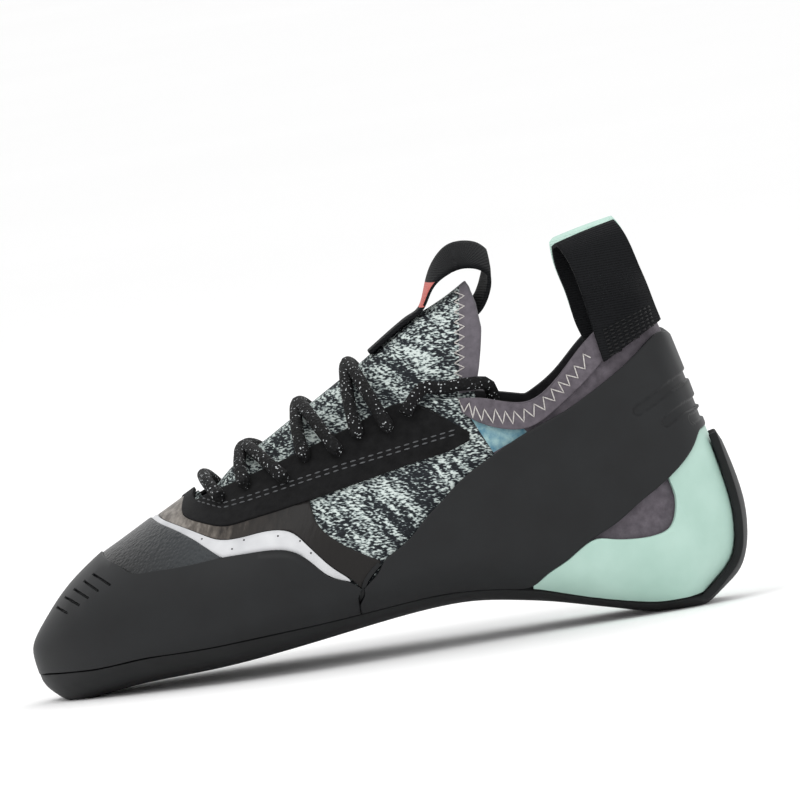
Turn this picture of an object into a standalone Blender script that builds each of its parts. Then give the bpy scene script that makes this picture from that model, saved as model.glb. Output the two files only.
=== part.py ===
"""A laced climbing shoe for the left foot, built from its separate pieces.

Metres, +Z up. The toe points to -X, the heel to +X, the big-toe side to +Y.
The origin is the flat spot under the heel. Every curved piece is a sheet of the
same last surface, thickened between two depths under its outer skin.
"""

import math
from collections import namedtuple
from functools import lru_cache

import bmesh
import bpy
from mathutils import Vector

MM = 0.001

# Driving dimensions of the last, over the rubber
LENGTH = 219.1 * MM
BALL_WIDTH = 81.5 * MM
CROWN_HEIGHT = 112.0 * MM
HEEL_REST = 0.8987
TOE_X = -HEEL_REST * LENGTH

# The outsole: how high the arch lifts it, its edge at the toe and its floor
ARCH_RISE = 12.0 * MM
SOLE_EDGE = 9.4 * MM
SOLE_FLOOR = 4.2 * MM
HEEL_STRIP = 2.6 * MM
STRIP_WIDTH = 18.0 * MM

# Thickness of each layer, and the clearances between them
RAND = 1.8 * MM
CUP = 1.5 * MM
PATCH = 1.3 * MM
EYESTAY = 1.0 * MM
CUFF = 0.9 * MM
BAND = 0.9 * MM
FILM = 0.6 * MM
WALL = 2.0 * MM
TONGUE = 2.0 * MM
INSOLE = 2.0 * MM
GAP = 0.3 * MM
SEAT = 0.60 * MM
WALL_DEPTH = RAND + SEAT
TONGUE_DEPTH = WALL_DEPTH + WALL + 1.2 * SEAT
TONGUE_CREST = 2.2 * MM

# Laces and webbing
LACE = 4.0 * MM
LOOP_WIDTH = 20.0 * MM
LOOP_HEIGHT = 36.0 * MM
LOOP_DEPTH = 13.5 * MM
WEBBING = 1.2 * MM
WEBBING_BOW = 0.3 * MM
TAB_WIDTH = 15.0 * MM
TAB_LENGTH = 17.0 * MM
TAB_HEIGHT = 10.0 * MM


def table(columns, *rows):
    """Named columns from rows of values."""
    return {name: [row[i] for row in rows] for i, name in enumerate(columns.split())}


# Sections across the last, from toe to heel. along is a share of LENGTH, the
# heights are shares of CROWN_HEIGHT, the half widths and the place of the ridge
# are shares of BALL_WIDTH, and each round is a superellipse exponent.
LAST = table(
    "along crown under widest outer inner ridge outer_round inner_round under_round",
    (0.000, 0.134, 0.134, 0.134, 0.147, 0.147, 0.147, 2.2, 2.3, 2.4),
    (0.023, 0.220, 0.020, 0.134, -0.015, 0.290, 0.150, 2.2, 2.3, 2.6),
    (0.050, 0.283, -0.010, 0.138, -0.100, 0.365, 0.155, 2.2, 2.4, 2.8),
    (0.100, 0.365, 0.003, 0.145, -0.215, 0.425, 0.155, 2.1, 2.4, 3.0),
    (0.150, 0.418, 0.017, 0.155, -0.305, 0.455, 0.145, 2.0, 2.3, 3.0),
    (0.200, 0.470, 0.022, 0.170, -0.375, 0.475, 0.130, 1.9, 2.2, 3.0),
    (0.270, 0.541, 0.031, 0.190, -0.455, 0.485, 0.105, 1.8, 2.1, 3.0),
    (0.340, 0.612, 0.047, 0.215, -0.500, 0.475, 0.080, 1.75, 2.0, 3.0),
    (0.410, 0.692, 0.066, 0.235, -0.515, 0.445, 0.055, 1.7, 1.9, 3.0),
    (0.500, 0.795, 0.091, 0.255, -0.490, 0.400, 0.030, 1.75, 1.9, 3.0),
    (0.600, 0.915, 0.107, 0.265, -0.435, 0.365, 0.010, 2.0, 2.1, 3.0),
    (0.700, 0.990, 0.081, 0.260, -0.390, 0.350, 0.000, 2.3, 2.3, 2.9),
    (0.800, 0.990, 0.032, 0.240, -0.365, 0.345, 0.000, 2.4, 2.4, 2.8),
    (0.870, 0.950, -0.002, 0.230, -0.340, 0.330, 0.000, 2.3, 2.3, 2.8),
    (0.900, 0.920, -0.010, 0.230, -0.320, 0.310, 0.000, 2.3, 2.3, 2.8),
    (0.930, 0.850, 0.006, 0.228, -0.290, 0.285, 0.000, 2.2, 2.2, 2.6),
    (0.953, 0.690, 0.046, 0.230, -0.246, 0.243, 0.000, 2.1, 2.1, 2.4),
    (0.985, 0.400, 0.100, 0.232, -0.155, 0.155, 0.000, 2.1, 2.1, 2.2),
    (1.000, 0.232, 0.232, 0.232, 0.000, 0.000, 0.000, 2.1, 2.1, 2.2),
)

# The outsole's side. lift is a share of ARCH_RISE, and edge and floor are shares
# of SOLE_EDGE and SOLE_FLOOR.
SOLE = table(
    "along lift edge floor",
    (0.000, 0.05, 0.87, 1.00),
    (0.020, 0.02, 0.95, 1.00),
    (0.038, 0.00, 0.98, 1.00),
    (0.088, 0.00, 1.00, 1.00),
    (0.122, 0.08, 0.99, 1.00),
    (0.165, 0.175, 0.98, 1.00),
    (0.210, 0.21, 0.95, 1.00),
    (0.310, 0.36, 0.90, 1.00),
    (0.424, 0.65, 0.70, 0.95),
    (0.523, 0.91, 0.55, 0.90),
    (0.580, 1.00, 0.51, 0.85),
    (0.635, 0.95, 0.49, 0.80),
    (0.690, 0.80, 0.49, 0.75),
    (0.740, 0.58, 0.42, 0.68),
    (0.783, 0.37, 0.36, 0.60),
    (0.851, 0.08, 0.34, 0.57),
    (0.880, 0.00, 0.34, 0.57),
    (0.918, 0.00, 0.34, 0.57),
    (0.945, 0.09, 0.36, 0.57),
    (0.965, 0.16, 0.38, 0.57),
    (1.000, 0.20, 0.40, 0.57),
)

# Outlines on the side of the last. along is a share of LENGTH, and up is a share
# of the height between the outsole's edge and the crown at that section.
COLLAR = table(
    "along up",
    (0.258, 0.935),
    (0.275, 0.927),
    (0.323, 0.888),
    (0.370, 0.852),
    (0.449, 0.800),
    (0.526, 0.765),
    (0.571, 0.731),
    (0.605, 0.682),
    (0.658, 0.636),
    (0.701, 0.600),
    (0.723, 0.588),
    (0.747, 0.601),
    (0.790, 0.686),
    (0.839, 0.796),
    (0.870, 0.862),
    (0.900, 0.921),
    (0.919, 0.965),
)
RAND_SEAM = table("along up", (0.463, 0.0), (0.463, 0.04), (0.471, 0.106))
RAND_SIDE = table(
    "along up",
    (0.471, 0.106),
    (0.453, 0.161),
    (0.404, 0.311),
    (0.383, 0.389),
    (0.370, 0.420),
    (0.338, 0.465),
    (0.283, 0.526),
)
RAND_PATCH = table("along up", (0.283, 0.526), (0.228, 0.580), (0.158, 0.701))
RAND_FRONT = table("along up", (0.158, 0.701), (0.140, 0.824), (0.122, 0.941))
RAND_RIDGE = 0.118
PATCH_REAR = table(
    "along up", (0.283, 0.526), (0.264, 0.626), (0.251, 0.690), (0.230, 0.809), (0.201, 0.945)
)
PATCH_RIDGE = 0.191
BAND_REAR = table(
    "along up",
    (0.453, 0.180),
    (0.424, 0.293),
    (0.400, 0.413),
    (0.388, 0.467),
    (0.379, 0.510),
    (0.364, 0.543),
    (0.346, 0.562),
    (0.307, 0.600),
    (0.284, 0.636),
    (0.253, 0.752),
    (0.231, 0.844),
    (0.211, 0.938),
)
BAND_RIDGE = 0.200
BAND_CORNER = 8
FILM_REAR = table("along up", (0.503, 0.198), (0.415, 0.592))
EYESTAY_SIDE = table("along up", (0.415, 0.592), (0.350, 0.645), (0.293, 0.699))
EYESTAY_FRONT = table("along up", (0.293, 0.699), (0.255, 0.820), (0.237, 0.888), (0.238, 0.945))
EYESTAY_RIDGE = 0.241
EYESTAY_BACK = table(
    "along up", (0.648, 0.500), (0.633, 0.490), (0.580, 0.500), (0.515, 0.533), (0.415, 0.592)
)
EYESTAY_TOP = table(
    "along up", (0.650, 0.530), (0.625, 0.589), (0.605, 0.647), (0.576, 0.712), (0.552, 0.747)
)
HEEL_TOP = table(
    "along up",
    (0.471, 0.106),
    (0.483, 0.132),
    (0.505, 0.196),
    (0.535, 0.229),
    (0.575, 0.294),
    (0.626, 0.382),
    (0.677, 0.436),
    (0.729, 0.504),
    (0.804, 0.590),
    (0.861, 0.686),
    (0.920, 0.840),
)
HEEL_TOP_RIDGE = 0.947
HEEL_LOW = table(
    "along up",
    (0.736, 0.081),
    (0.792, 0.182),
    (0.850, 0.275),
    (0.913, 0.387),
    (0.944, 0.511),
    (0.966, 0.800),
)
HEEL_LOW_RIDGE = 0.976
HEEL_FORK = 0.691
WINDOW = table(
    "along up",
    (0.792, 0.182),
    (0.855, 0.196),
    (0.890, 0.212),
    (0.908, 0.247),
    (0.917, 0.300),
    (0.918, 0.349),
    (0.913, 0.387),
)
CUFF_LOW = table(
    "along up",
    (0.642, 0.600),
    (0.672, 0.533),
    (0.696, 0.513),
    (0.724, 0.506),
    (0.783, 0.589),
    (0.831, 0.677),
    (0.860, 0.750),
    (0.915, 0.890),
)
CUFF_RIDGE = 0.936

# The lace's eyelets from front to back, and the route of its free end. depth is
# a share of LACE under the skin, where the middle of the lace lies.
EYELETS = table(
    "along up",
    (0.296, 0.828),
    (0.332, 0.815),
    (0.388, 0.727),
    (0.420, 0.760),
    (0.466, 0.700),
    (0.497, 0.713),
    (0.540, 0.667),
    (0.566, 0.676),
)
FREE_END = table(
    "along up depth",
    (0.566, 0.676, -0.42),
    (0.582, 0.712, -0.36),
    (0.597, 0.736, 0.05),
    (0.617, 0.712, 0.38),
    (0.642, 0.694, 0.42),
    (0.664, 0.678, 0.55),
    (0.681, 0.672, 1.05),
    (0.690, 0.650, 1.75),
    (0.690, 0.605, 2.20),
    (0.684, 0.550, 2.30),
    (0.678, 0.490, 2.20),
)

# A heel loop's fold, from its sewn outer leg over the top to its inner leg. out
# is a share of LOOP_DEPTH off the heel, and up is a share of LOOP_HEIGHT.
LOOP = table(
    "out up",
    (0.00, 0.00),
    (0.00, 0.12),
    (0.02, 0.26),
    (0.10, 0.46),
    (0.12, 0.66),
    (0.00, 0.84),
    (-0.26, 0.96),
    (-0.60, 1.00),
    (-0.92, 0.90),
    (-1.02, 0.72),
    (-0.90, 0.52),
    (-0.68, 0.34),
    (-0.50, 0.20),
    (-0.40, 0.08),
    (-0.40, -0.04),
)
LACE_SWEEP = 0.021
LOOP_ALONG = 0.890
LOOP_UP = 0.790
LOOP_TILT = math.radians(12.0)
LOOP_SKEW = math.radians(14.0)
LOOP_SEWN = 0.30
LOOP_FREE = 0.58

# The tongue's pull tab, past the tongue's top edge. along is a share of
# TAB_LENGTH and up is a share of TAB_HEIGHT.
TAB = table(
    "along up",
    (-0.34, 0.52),
    (0.03, 0.98),
    (0.43, 0.98),
    (0.69, 0.66),
    (0.58, -0.05),
    (0.36, -0.62),
    (0.06, -0.86),
    (-0.28, -0.92),
)
TAB_START = 0.525
TAB_LEAVES = 0.605
TAB_TILT = math.radians(28.0)
TONGUE_FRONT = 0.236
TONGUE_TOP = 0.6535
TONGUE_CORNER = 0.668
TONGUE_TUCK = 9.0 * MM
BEND_STEP = 40.0 * MM

Section = namedtuple("Section", "x " + " ".join(list(LAST)[1:]) + " lift edge floor")


def slopes_of(places, values):
    """Slopes that keep a curve through the values from overshooting."""
    steps = [(b - a) for a, b in zip(places, places[1:])]
    rates = [(b - a) / h for a, b, h in zip(values, values[1:], steps)]
    slopes = [rates[0]]
    for i in range(1, len(rates)):
        if rates[i - 1] * rates[i] <= 0:
            slopes.append(0.0)
        else:
            before = 2 * steps[i] + steps[i - 1]
            after = steps[i] + 2 * steps[i - 1]
            slopes.append((before + after) / (before / rates[i - 1] + after / rates[i]))
    slopes.append(rates[-1])
    return slopes


def hermite(places, values, slopes, at):
    """The curve's value at one place."""
    at = min(max(at, places[0]), places[-1])
    i = 0
    while i < len(places) - 2 and at > places[i + 1]:
        i += 1
    h = places[i + 1] - places[i]
    u = (at - places[i]) / h
    rise = (3 - 2 * u) * u * u
    start = u * (1 - u) ** 2 * h * slopes[i]
    end = u * u * (u - 1) * h * slopes[i + 1]
    return values[i] * (1 - rise) + values[i + 1] * rise + start + end


def ease(along):
    """Station of a share of the length: 0 at the toe, 1 at the heel, dense at both."""
    return math.acos(1 - 2 * min(max(along, 0.0), 1.0)) / math.pi


def share(station):
    return (1 - math.cos(math.pi * station)) / 2


def column(source, name, scale):
    places = [ease(a) for a in source["along"]]
    values = [v * scale for v in source[name]]
    return places, values, slopes_of(places, values)


HEIGHTS = {name: CROWN_HEIGHT for name in ("crown", "under", "widest")}
WIDTHS = {name: BALL_WIDTH for name in ("outer", "inner", "ridge")}
LAST_CURVES = [column(LAST, n, {**HEIGHTS, **WIDTHS}.get(n, 1.0)) for n in list(LAST)[1:]]
SOLE_SIZES = (("lift", ARCH_RISE), ("edge", SOLE_EDGE), ("floor", SOLE_FLOOR))
SOLE_CURVES = [column(SOLE, name, size) for name, size in SOLE_SIZES]


@lru_cache(maxsize=None)
def section(station):
    x = TOE_X + LENGTH * share(station)
    return Section(x, *(hermite(*curve, station) for curve in LAST_CURVES + SOLE_CURVES))


def skin(station, turn):
    """Point on the last's outer skin. turn runs from 0 on the crown to pi below."""
    part = section(min(max(station, 0.0), 1.0))
    turn = math.remainder(turn, 2 * math.pi)
    across, upward = abs(math.sin(turn)), math.cos(turn)
    if upward < 0:
        power, rise = part.under_round, part.widest - part.under
    else:
        power = part.outer_round if turn < 0 else part.inner_round
        rise = part.crown - part.widest
    reach = (part.outer if turn < 0 else part.inner) - part.ridge
    size = (across**power + abs(upward) ** power) ** (-1 / power)
    return Vector((part.x, part.ridge + reach * across * size, part.widest + rise * upward * size))


@lru_cache(maxsize=None)
def normal(station, turn):
    """Direction straight out of the skin."""
    if station < 0.006:
        return Vector((-1, 0, 0))
    if station > 0.994:
        return Vector((1, 0, 0))
    forward = skin(station + 0.003, turn) - skin(station - 0.003, turn)
    around = skin(station, turn + 0.02) - skin(station, turn - 0.02)
    return forward.cross(around).normalized()


def place(station, turn, depth):
    return skin(station, turn) - normal(station, turn) * depth


def turn_at(station, height, side):
    """Turn where the section's skin has this height."""
    part = section(station)
    above = height > part.widest
    rise = (part.crown - part.widest) if above else (part.widest - part.under)
    if rise <= 0:
        return side * (0.0 if above else math.pi)
    level = min(max((height - part.widest) / rise, -1.0), 1.0)
    if not above:
        power = part.under_round
    else:
        power = part.outer_round if side < 0 else part.inner_round
    width = max(1 - abs(level) ** power, 0.0) ** (1 / power)
    return side * math.atan2(width, level)


def feather(station):
    part = section(station)
    return part.lift + part.edge


def seat(along, up, side):
    """Station and turn of a point given by its two shares in the side view."""
    station = ease(along)
    part = section(station)
    low = feather(station)
    return station, turn_at(station, low + up * (part.crown - low), side)


def disc(end, station, turn):
    """A flat chart of the skin with one end of the shoe at its middle."""
    radius = station if end == "toe" else 1 - station
    return radius * math.cos(turn), radius * math.sin(turn)


def undisc(end, p, q):
    radius = min(math.hypot(p, q), 1.0)
    return (radius if end == "toe" else 1 - radius), math.atan2(q, p)


def side_line(end, rows, side):
    return [disc(end, *seat(a, u, side)) for a, u in zip(rows["along"], rows["up"])]


def rows_of(rows, first, last):
    """Part of a table: its rows from first up to last."""
    return {name: values[first:last] for name, values in rows.items()}


def both_sides(end, rows, ridge):
    """A line up the outer side, over the ridge and down the inner side."""
    outer = side_line(end, rows, -1)
    inner = side_line(end, rows, 1)
    return outer + [disc(end, ease(ridge), 0.0)] + inner[::-1]


def point_on(end, spot, depth=0.0):
    return place(*undisc(end, *spot), depth)


def resample(end, spots, count):
    """Spots along a smooth line through the given ones, closer where the skin bends."""
    knots = [0.0]
    for a, b in zip(spots, spots[1:]):
        knots.append(knots[-1] + max(math.dist(a, b), 1e-6))
    axes = []
    for axis in (0, 1):
        values = [spot[axis] for spot in spots]
        slopes = []
        for i in range(len(values)):
            low, high = max(i - 1, 0), min(i + 1, len(values) - 1)
            slopes.append((values[high] - values[low]) / (knots[high] - knots[low]))
        axes.append((knots, values, slopes))
    fine = [knots[-1] * i / 240 for i in range(241)]
    line = [(hermite(*axes[0], t), hermite(*axes[1], t)) for t in fine]
    places = [point_on(end, spot) for spot in line]
    facing = [normal(*undisc(end, *spot)) for spot in line]
    gone = [0.0]
    for i in range(240):
        bend = facing[i].angle(facing[i + 1], 0.0)
        gone.append(gone[-1] + (places[i + 1] - places[i]).length + BEND_STEP * bend)
    spots, i = [], 0
    for step in range(count + 1):
        goal = gone[-1] * step / count
        while i < len(gone) - 2 and gone[i + 1] < goal:
            i += 1
        part = (goal - gone[i]) / max(gone[i + 1] - gone[i], 1e-9)
        part = min(max(part, 0.0), 1.0)
        spots.append(tuple(a + (b - a) * part for a, b in zip(line[i], line[i + 1])))
    return spots


def chain(end, *runs):
    """Lines with corners between them: each run is its rows and its count."""
    spots = []
    for rows, count in runs:
        spots += resample(end, rows, count)[1 if spots else 0 :]
    return spots


def coons(low, high, first, last):
    """A grid of spots between four edges that share their corners."""
    columns, rows = len(low) - 1, len(first) - 1
    grid = []
    for j in range(rows + 1):
        v = j / rows
        line = []
        for i in range(columns + 1):
            u = i / columns
            spot = []
            for axis in (0, 1):
                ruled = (1 - v) * low[i][axis] + v * high[i][axis]
                ruled += (1 - u) * first[j][axis] + u * last[j][axis]
                ruled -= (1 - u) * ((1 - v) * low[0][axis] + v * high[0][axis])
                ruled -= u * ((1 - v) * low[-1][axis] + v * high[-1][axis])
                spot.append(ruled)
            line.append(tuple(spot))
        grid.append(line)
    return grid


def between(low, high, rows):
    """A grid of spots with straight ends between two lines."""
    ends = []
    for k in (0, -1):
        a, b = low[k], high[k]
        ends.append([tuple(p + (q - p) * j / rows for p, q in zip(a, b)) for j in range(rows + 1)])
    return coons(low, high, *ends)


def trimmed(end, grid, edges="low high first last"):
    """The same grid with half a gap taken off its named edges."""

    def shift(spot, inward):
        length = (point_on(end, spot) - point_on(end, inward)).length
        part = min(0.72 * GAP / max(length, 1e-9), 0.4)
        return tuple(a + (b - a) * part for a, b in zip(spot, inward))

    grid = [list(line) for line in grid]
    for j, beside, name in ((0, 1, "low"), (-1, -2, "high")):
        if name in edges:
            grid[j] = [shift(a, b) for a, b in zip(grid[j], grid[beside])]
    for i, beside, name in ((0, 1, "first"), (-1, -2, "last")):
        if name in edges:
            for line in grid:
                line[i] = shift(line[i], line[beside])
    return grid


def key_of(station, turn):
    """One key for every way to name the same spot of the skin."""
    if station < 1e-6:
        return "toe"
    if station > 1 - 1e-6:
        return "heel"
    turn = math.pi if abs(abs(turn) - math.pi) < 1e-6 else turn
    return round(station, 7), round(turn, 7)


def sheet(grids, outer, inner):
    """A closed mesh: the grids' sheet at an outer and an inner face, with a rim."""
    mesh = bmesh.new()
    tops, bottoms, edges = {}, {}, {}

    def vertex(spot):
        key = key_of(*spot)
        if key not in tops:
            tops[key] = mesh.verts.new(outer(*spot))
            bottoms[key] = mesh.verts.new(inner(*spot))
        return key

    for grid in grids:
        for low, high in zip(grid, grid[1:]):
            for i in range(len(low) - 1):
                ring = [vertex(s) for s in (low[i], low[i + 1], high[i + 1], high[i])]
                ring = [k for n, k in enumerate(ring) if k != ring[n - 1]]
                if len(set(ring)) < 3 or len(set(ring)) < len(ring):
                    continue
                mesh.faces.new([tops[k] for k in ring])
                mesh.faces.new([bottoms[k] for k in reversed(ring)])
                for n, k in enumerate(ring):
                    pair = frozenset((ring[n - 1], k))
                    edges.setdefault(pair, []).append((ring[n - 1], k))
    for uses in edges.values():
        if len(uses) == 1:
            a, b = uses[0]
            mesh.faces.new((tops[b], tops[a], bottoms[a], bottoms[b]))
    return mesh


def finish(mesh):
    """Drop unused points, split the quads and turn every face outward."""
    loose = [v for v in mesh.verts if not v.link_faces]
    bmesh.ops.delete(mesh, geom=loose, context="VERTS")
    quads = [f for f in mesh.faces if len(f.verts) == 4]
    bmesh.ops.triangulate(mesh, faces=quads)
    bmesh.ops.recalc_face_normals(mesh, faces=mesh.faces)


def material(name, colour, roughness):
    made = bpy.data.materials.new(name)
    made.use_nodes = True
    shader = made.node_tree.nodes["Principled BSDF"]
    shader.inputs["Base Color"].default_value = (*colour, 1.0)
    shader.inputs["Roughness"].default_value = roughness
    shader.inputs["Metallic"].default_value = 0.0
    made.diffuse_color = (*colour, 1.0)
    return made


def piece(name, mesh, colour, roughness):
    """A named object, with its own material, from a bmesh."""
    data = bpy.data.meshes.new(name)
    mesh.to_mesh(data)
    mesh.free()
    data.shade_smooth()
    data.set_sharp_from_angle(angle=math.radians(40))
    thing = bpy.data.objects.new(name, data)
    data.materials.append(material(name + "_finish", colour, roughness))
    bpy.context.scene.collection.objects.link(thing)
    return thing


def overlay(name, end, grid, thickness, colour, roughness, edges="low high first last"):
    """A layer glued on the upper: its outer face stands where its thickness puts it."""
    spots = [[undisc(end, *s) for s in line] for line in trimmed(end, grid, edges)]
    mesh = sheet(
        [spots],
        lambda s, t: place(s, t, RAND - thickness),
        lambda s, t: place(s, t, RAND),
    )
    finish(mesh)
    return piece(name, mesh, colour, roughness)


def collar_turn(station, side):
    """Turn of the opening's edge, carried on to both ends of the shoe."""
    front, back = ease(COLLAR["along"][0]), ease(COLLAR["along"][-1])
    inside = min(max(station, front), back)
    places = [ease(a) for a in COLLAR["along"]]
    up = hermite(places, COLLAR["up"], slopes_of(places, COLLAR["up"]), inside)
    turn = seat(share(inside), up, side)[1]
    if station < front:
        return turn * station / front
    if station > back:
        return turn * (1 - station) / (1 - back)
    return turn


def low_turn(station, depth, height, side):
    """Turn below the widest line where a surface at this depth comes down to a height."""
    near, bottom = side * math.pi / 2, side * math.pi
    far = bottom
    if place(station, far, depth).z >= height:
        return far
    for _ in range(28):
        middle = (near + far) / 2
        if place(station, middle, depth).z > height:
            near = middle
        else:
            far = middle
    found = (near + far) / 2
    return bottom if math.pi - abs(found) < 0.2 else found


def stations(first, last, count, *extra):
    even = [first + (last - first) * i / count for i in range(count + 1)]
    near = (last - first) / count * 0.35
    return sorted([s for s in even if all(abs(s - e) > near for e in extra)] + list(extra))


def sole_reach(opening):
    """First station where the skin dips this far, in radians, below the outsole's edge."""
    grid = (i / 2000 for i in range(1, 2000))
    return next(s for s in grid if math.pi - turn_at(s, feather(s), 1) > opening)


def edge_spot(station, side):
    """Point on the outsole's upper edge."""
    return skin(station, turn_at(station, feather(station), side))


def make_outsole():
    """The rubber outsole: a shallow cup at the forefoot and a strip up the heel."""
    spots = (i / 2000 for i in range(1990, 1000, -1))
    wrapped = next(s for s in spots if edge_spot(s, 1).y > STRIP_WIDTH / 2)
    turning = wrapped - 0.045
    toe_end = sole_reach(0.3)

    def strip_share(station, turn):
        below = math.cos(turn) < 0
        part = (station - turning) / (wrapped - turning)
        return min(max(part, 0.0), 1.0) if below else 1.0

    def outer(station, turn):
        part = strip_share(station, turn)
        point = place(station, turn, -(HEEL_STRIP + GAP) * part)
        return Vector((point.x, point.y, max(point.z, 0.0)))

    def inner(station, turn):
        part = strip_share(station, turn)
        point = place(station, turn, RAND * (1 - part) - GAP * part)
        part = section(station)
        level = part.lift + part.floor
        return Vector((point.x, point.y, max(point.z, level)))

    columns = 14
    main = []
    flat = [ease(SOLE["along"][i]) for i in (2, 3)]
    for station in stations(toe_end, turning, 20, *flat):
        edge = feather(station) - GAP
        left = turn_at(station, edge, -1)
        right = turn_at(station, edge, 1)
        span = 2 * math.pi + left - right
        line = []
        for i in range(columns + 1):
            turn = right + span * i / columns
            line.append((station, turn if turn <= math.pi else turn - 2 * math.pi))
        main.append(line)
    arc = [disc("heel", *spot) for spot in main[-1]]
    near_pole = (skin(0.95, math.pi / 2).y - skin(0.95, -math.pi / 2).y) / 0.1
    half = STRIP_WIDTH / 2 / near_pole
    top_ridge = (1 - ease(HEEL_LOW_RIDGE)) * 0.86
    top = [(top_ridge, half * (1 - 2 * i / columns)) for i in range(columns + 1)]
    rows = 8

    def side_edge(start, sign):
        route = [start]
        for part in (0.4, 0.8):
            station = turning + (wrapped - turning) * part
            route.append(disc("heel", station, turn_at(station, feather(station) - GAP, sign)))
        route.append((route[-1][0] * 0.55, sign * half))
        return resample("heel", route + [(0.0, sign * half), top[0 if sign > 0 else -1]], rows)

    strip = coons(arc, top, side_edge(arc[0], 1), side_edge(arc[-1], -1))
    strip = [[undisc("heel", *spot) for spot in line] for line in strip]
    strip[0] = main[-1]
    mesh = sheet([main, strip], outer, inner)
    ground = [f for f in mesh.faces if all(v.co.z < 1e-7 for v in f.verts)]
    bmesh.ops.dissolve_faces(mesh, faces=ground)
    bmesh.ops.recalc_face_normals(mesh, faces=mesh.faces)
    finish(mesh)
    return piece("outsole", mesh, (0.020, 0.021, 0.022), 0.62)


def make_insole():
    """The board that the foot stands on, over the upper's lower edge."""
    depth, grid, height = TONGUE_DEPTH, [], 0.0
    for station in stations(0.06, 0.945, 20):
        part = section(station)
        lows = [low_turn(station, WALL_DEPTH, part.lift + part.floor + 2 * SEAT, side) for side in (-1, 1)]
        if abs(lows[0]) < math.pi:
            height = max(place(station, turn, depth).z for turn in lows) + GAP
        ends = [place(station, low_turn(station, depth, height, side), depth) for side in (-1, 1)]
        if ends[1].y - ends[0].y > STRIP_WIDTH / 2:
            grid.append([ends[0].lerp(ends[1], i / 4) for i in range(5)])
            for point in grid[-1]:
                point.z = height
    mesh = bmesh.new()
    layers = []
    for lift in (0.0, INSOLE):
        layers.append([[mesh.verts.new((p.x, p.y, p.z + lift)) for p in line] for line in grid])
    for layer in layers:
        for low, high in zip(layer, layer[1:]):
            for i in range(4):
                mesh.faces.new((low[i], low[i + 1], high[i + 1], high[i]))
    bottom, top = layers
    for i in range(4):
        for j in (0, -1):
            mesh.faces.new((bottom[j][i], bottom[j][i + 1], top[j][i + 1], top[j][i]))
    for j in range(len(grid) - 1):
        for i in (0, -1):
            mesh.faces.new((bottom[j][i], bottom[j + 1][i], top[j + 1][i], top[j][i]))
    finish(mesh)
    return piece("insole", mesh, (0.090, 0.090, 0.095), 0.9)


def make_upper():
    """The hollow upper: closed over the toe and the heel, open at the throat and below."""
    front, back = ease(COLLAR["along"][0]), ease(COLLAR["along"][-1])
    rows = 8
    line = stations(0.0, 1.0, 32, front, back)
    outer_side, inner_side, vamp, rear = [], [], [], []
    for station in line:
        part = section(station)
        height = part.lift + part.floor + 2 * SEAT
        for side, grid in ((-1, outer_side), (1, inner_side)):
            low = low_turn(station, WALL_DEPTH, height, side) if 0 < station < 1 else side * math.pi
            high = collar_turn(station, side)
            grid.append([(station, low + (high - low) * i / rows) for i in range(rows + 1)])
        across = [
            (station, (outer_side[-1][-1][1] * (3 - i) + inner_side[-1][-1][1] * i) / 3)
            for i in range(4)
        ]
        if station <= front:
            vamp.append(across)
        if station >= back:
            rear.append(across)
    mesh = sheet(
        [outer_side, inner_side, vamp, rear],
        lambda s, t: place(s, t, WALL_DEPTH),
        lambda s, t: place(s, t, WALL_DEPTH + WALL),
    )
    finish(mesh)
    return piece("upper", mesh, (0.22, 0.24, 0.24), 0.85)


def tongue_depth(station, turn):
    """How far the tongue's outer face lies under the skin: it swells up in the throat."""
    edge = abs(collar_turn(station, -1 if turn < 0 else 1))
    inside = min(max((edge - 0.10 - abs(turn)) / (0.55 * edge), 0.0), 1.0)
    throat = ease(COLLAR["along"][0])
    opened = min(max((station - throat - 0.012) / 0.03, 0.0), 1.0)
    swell = (3 - 2 * inside) * inside**2 * (3 - 2 * opened) * opened**2
    return TONGUE_DEPTH + (TONGUE_CREST - TONGUE_DEPTH) * swell


def tongue_turn(station, side):
    """Turn of the tongue's long edge, tucked under the eyestay."""
    edge = collar_turn(station, side)
    part = section(station)
    return edge + side * TONGUE_TUCK / (0.75 * (part.inner - part.outer))


def make_tongue():
    """The padded tongue, from under the vamp up to its free top edge."""
    columns, rows = 10, 12
    grid = []
    for j in range(rows + 1):
        v = j / rows
        line = []
        for i in range(columns + 1):
            u = 2 * i / columns - 1
            top = TONGUE_TOP + (TONGUE_CORNER - TONGUE_TOP) * u * u
            station = ease(TONGUE_FRONT + (top - TONGUE_FRONT) * v)
            side = -1 if u < 0 else 1
            line.append((station, tongue_turn(station, side) * abs(u)))
        grid.append(line)
    mesh = sheet(
        [grid],
        lambda s, t: place(s, t, tongue_depth(s, t)),
        lambda s, t: place(s, t, tongue_depth(s, t) + TONGUE),
    )
    finish(mesh)
    return piece("tongue", mesh, (0.20, 0.22, 0.22), 0.9)


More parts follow.
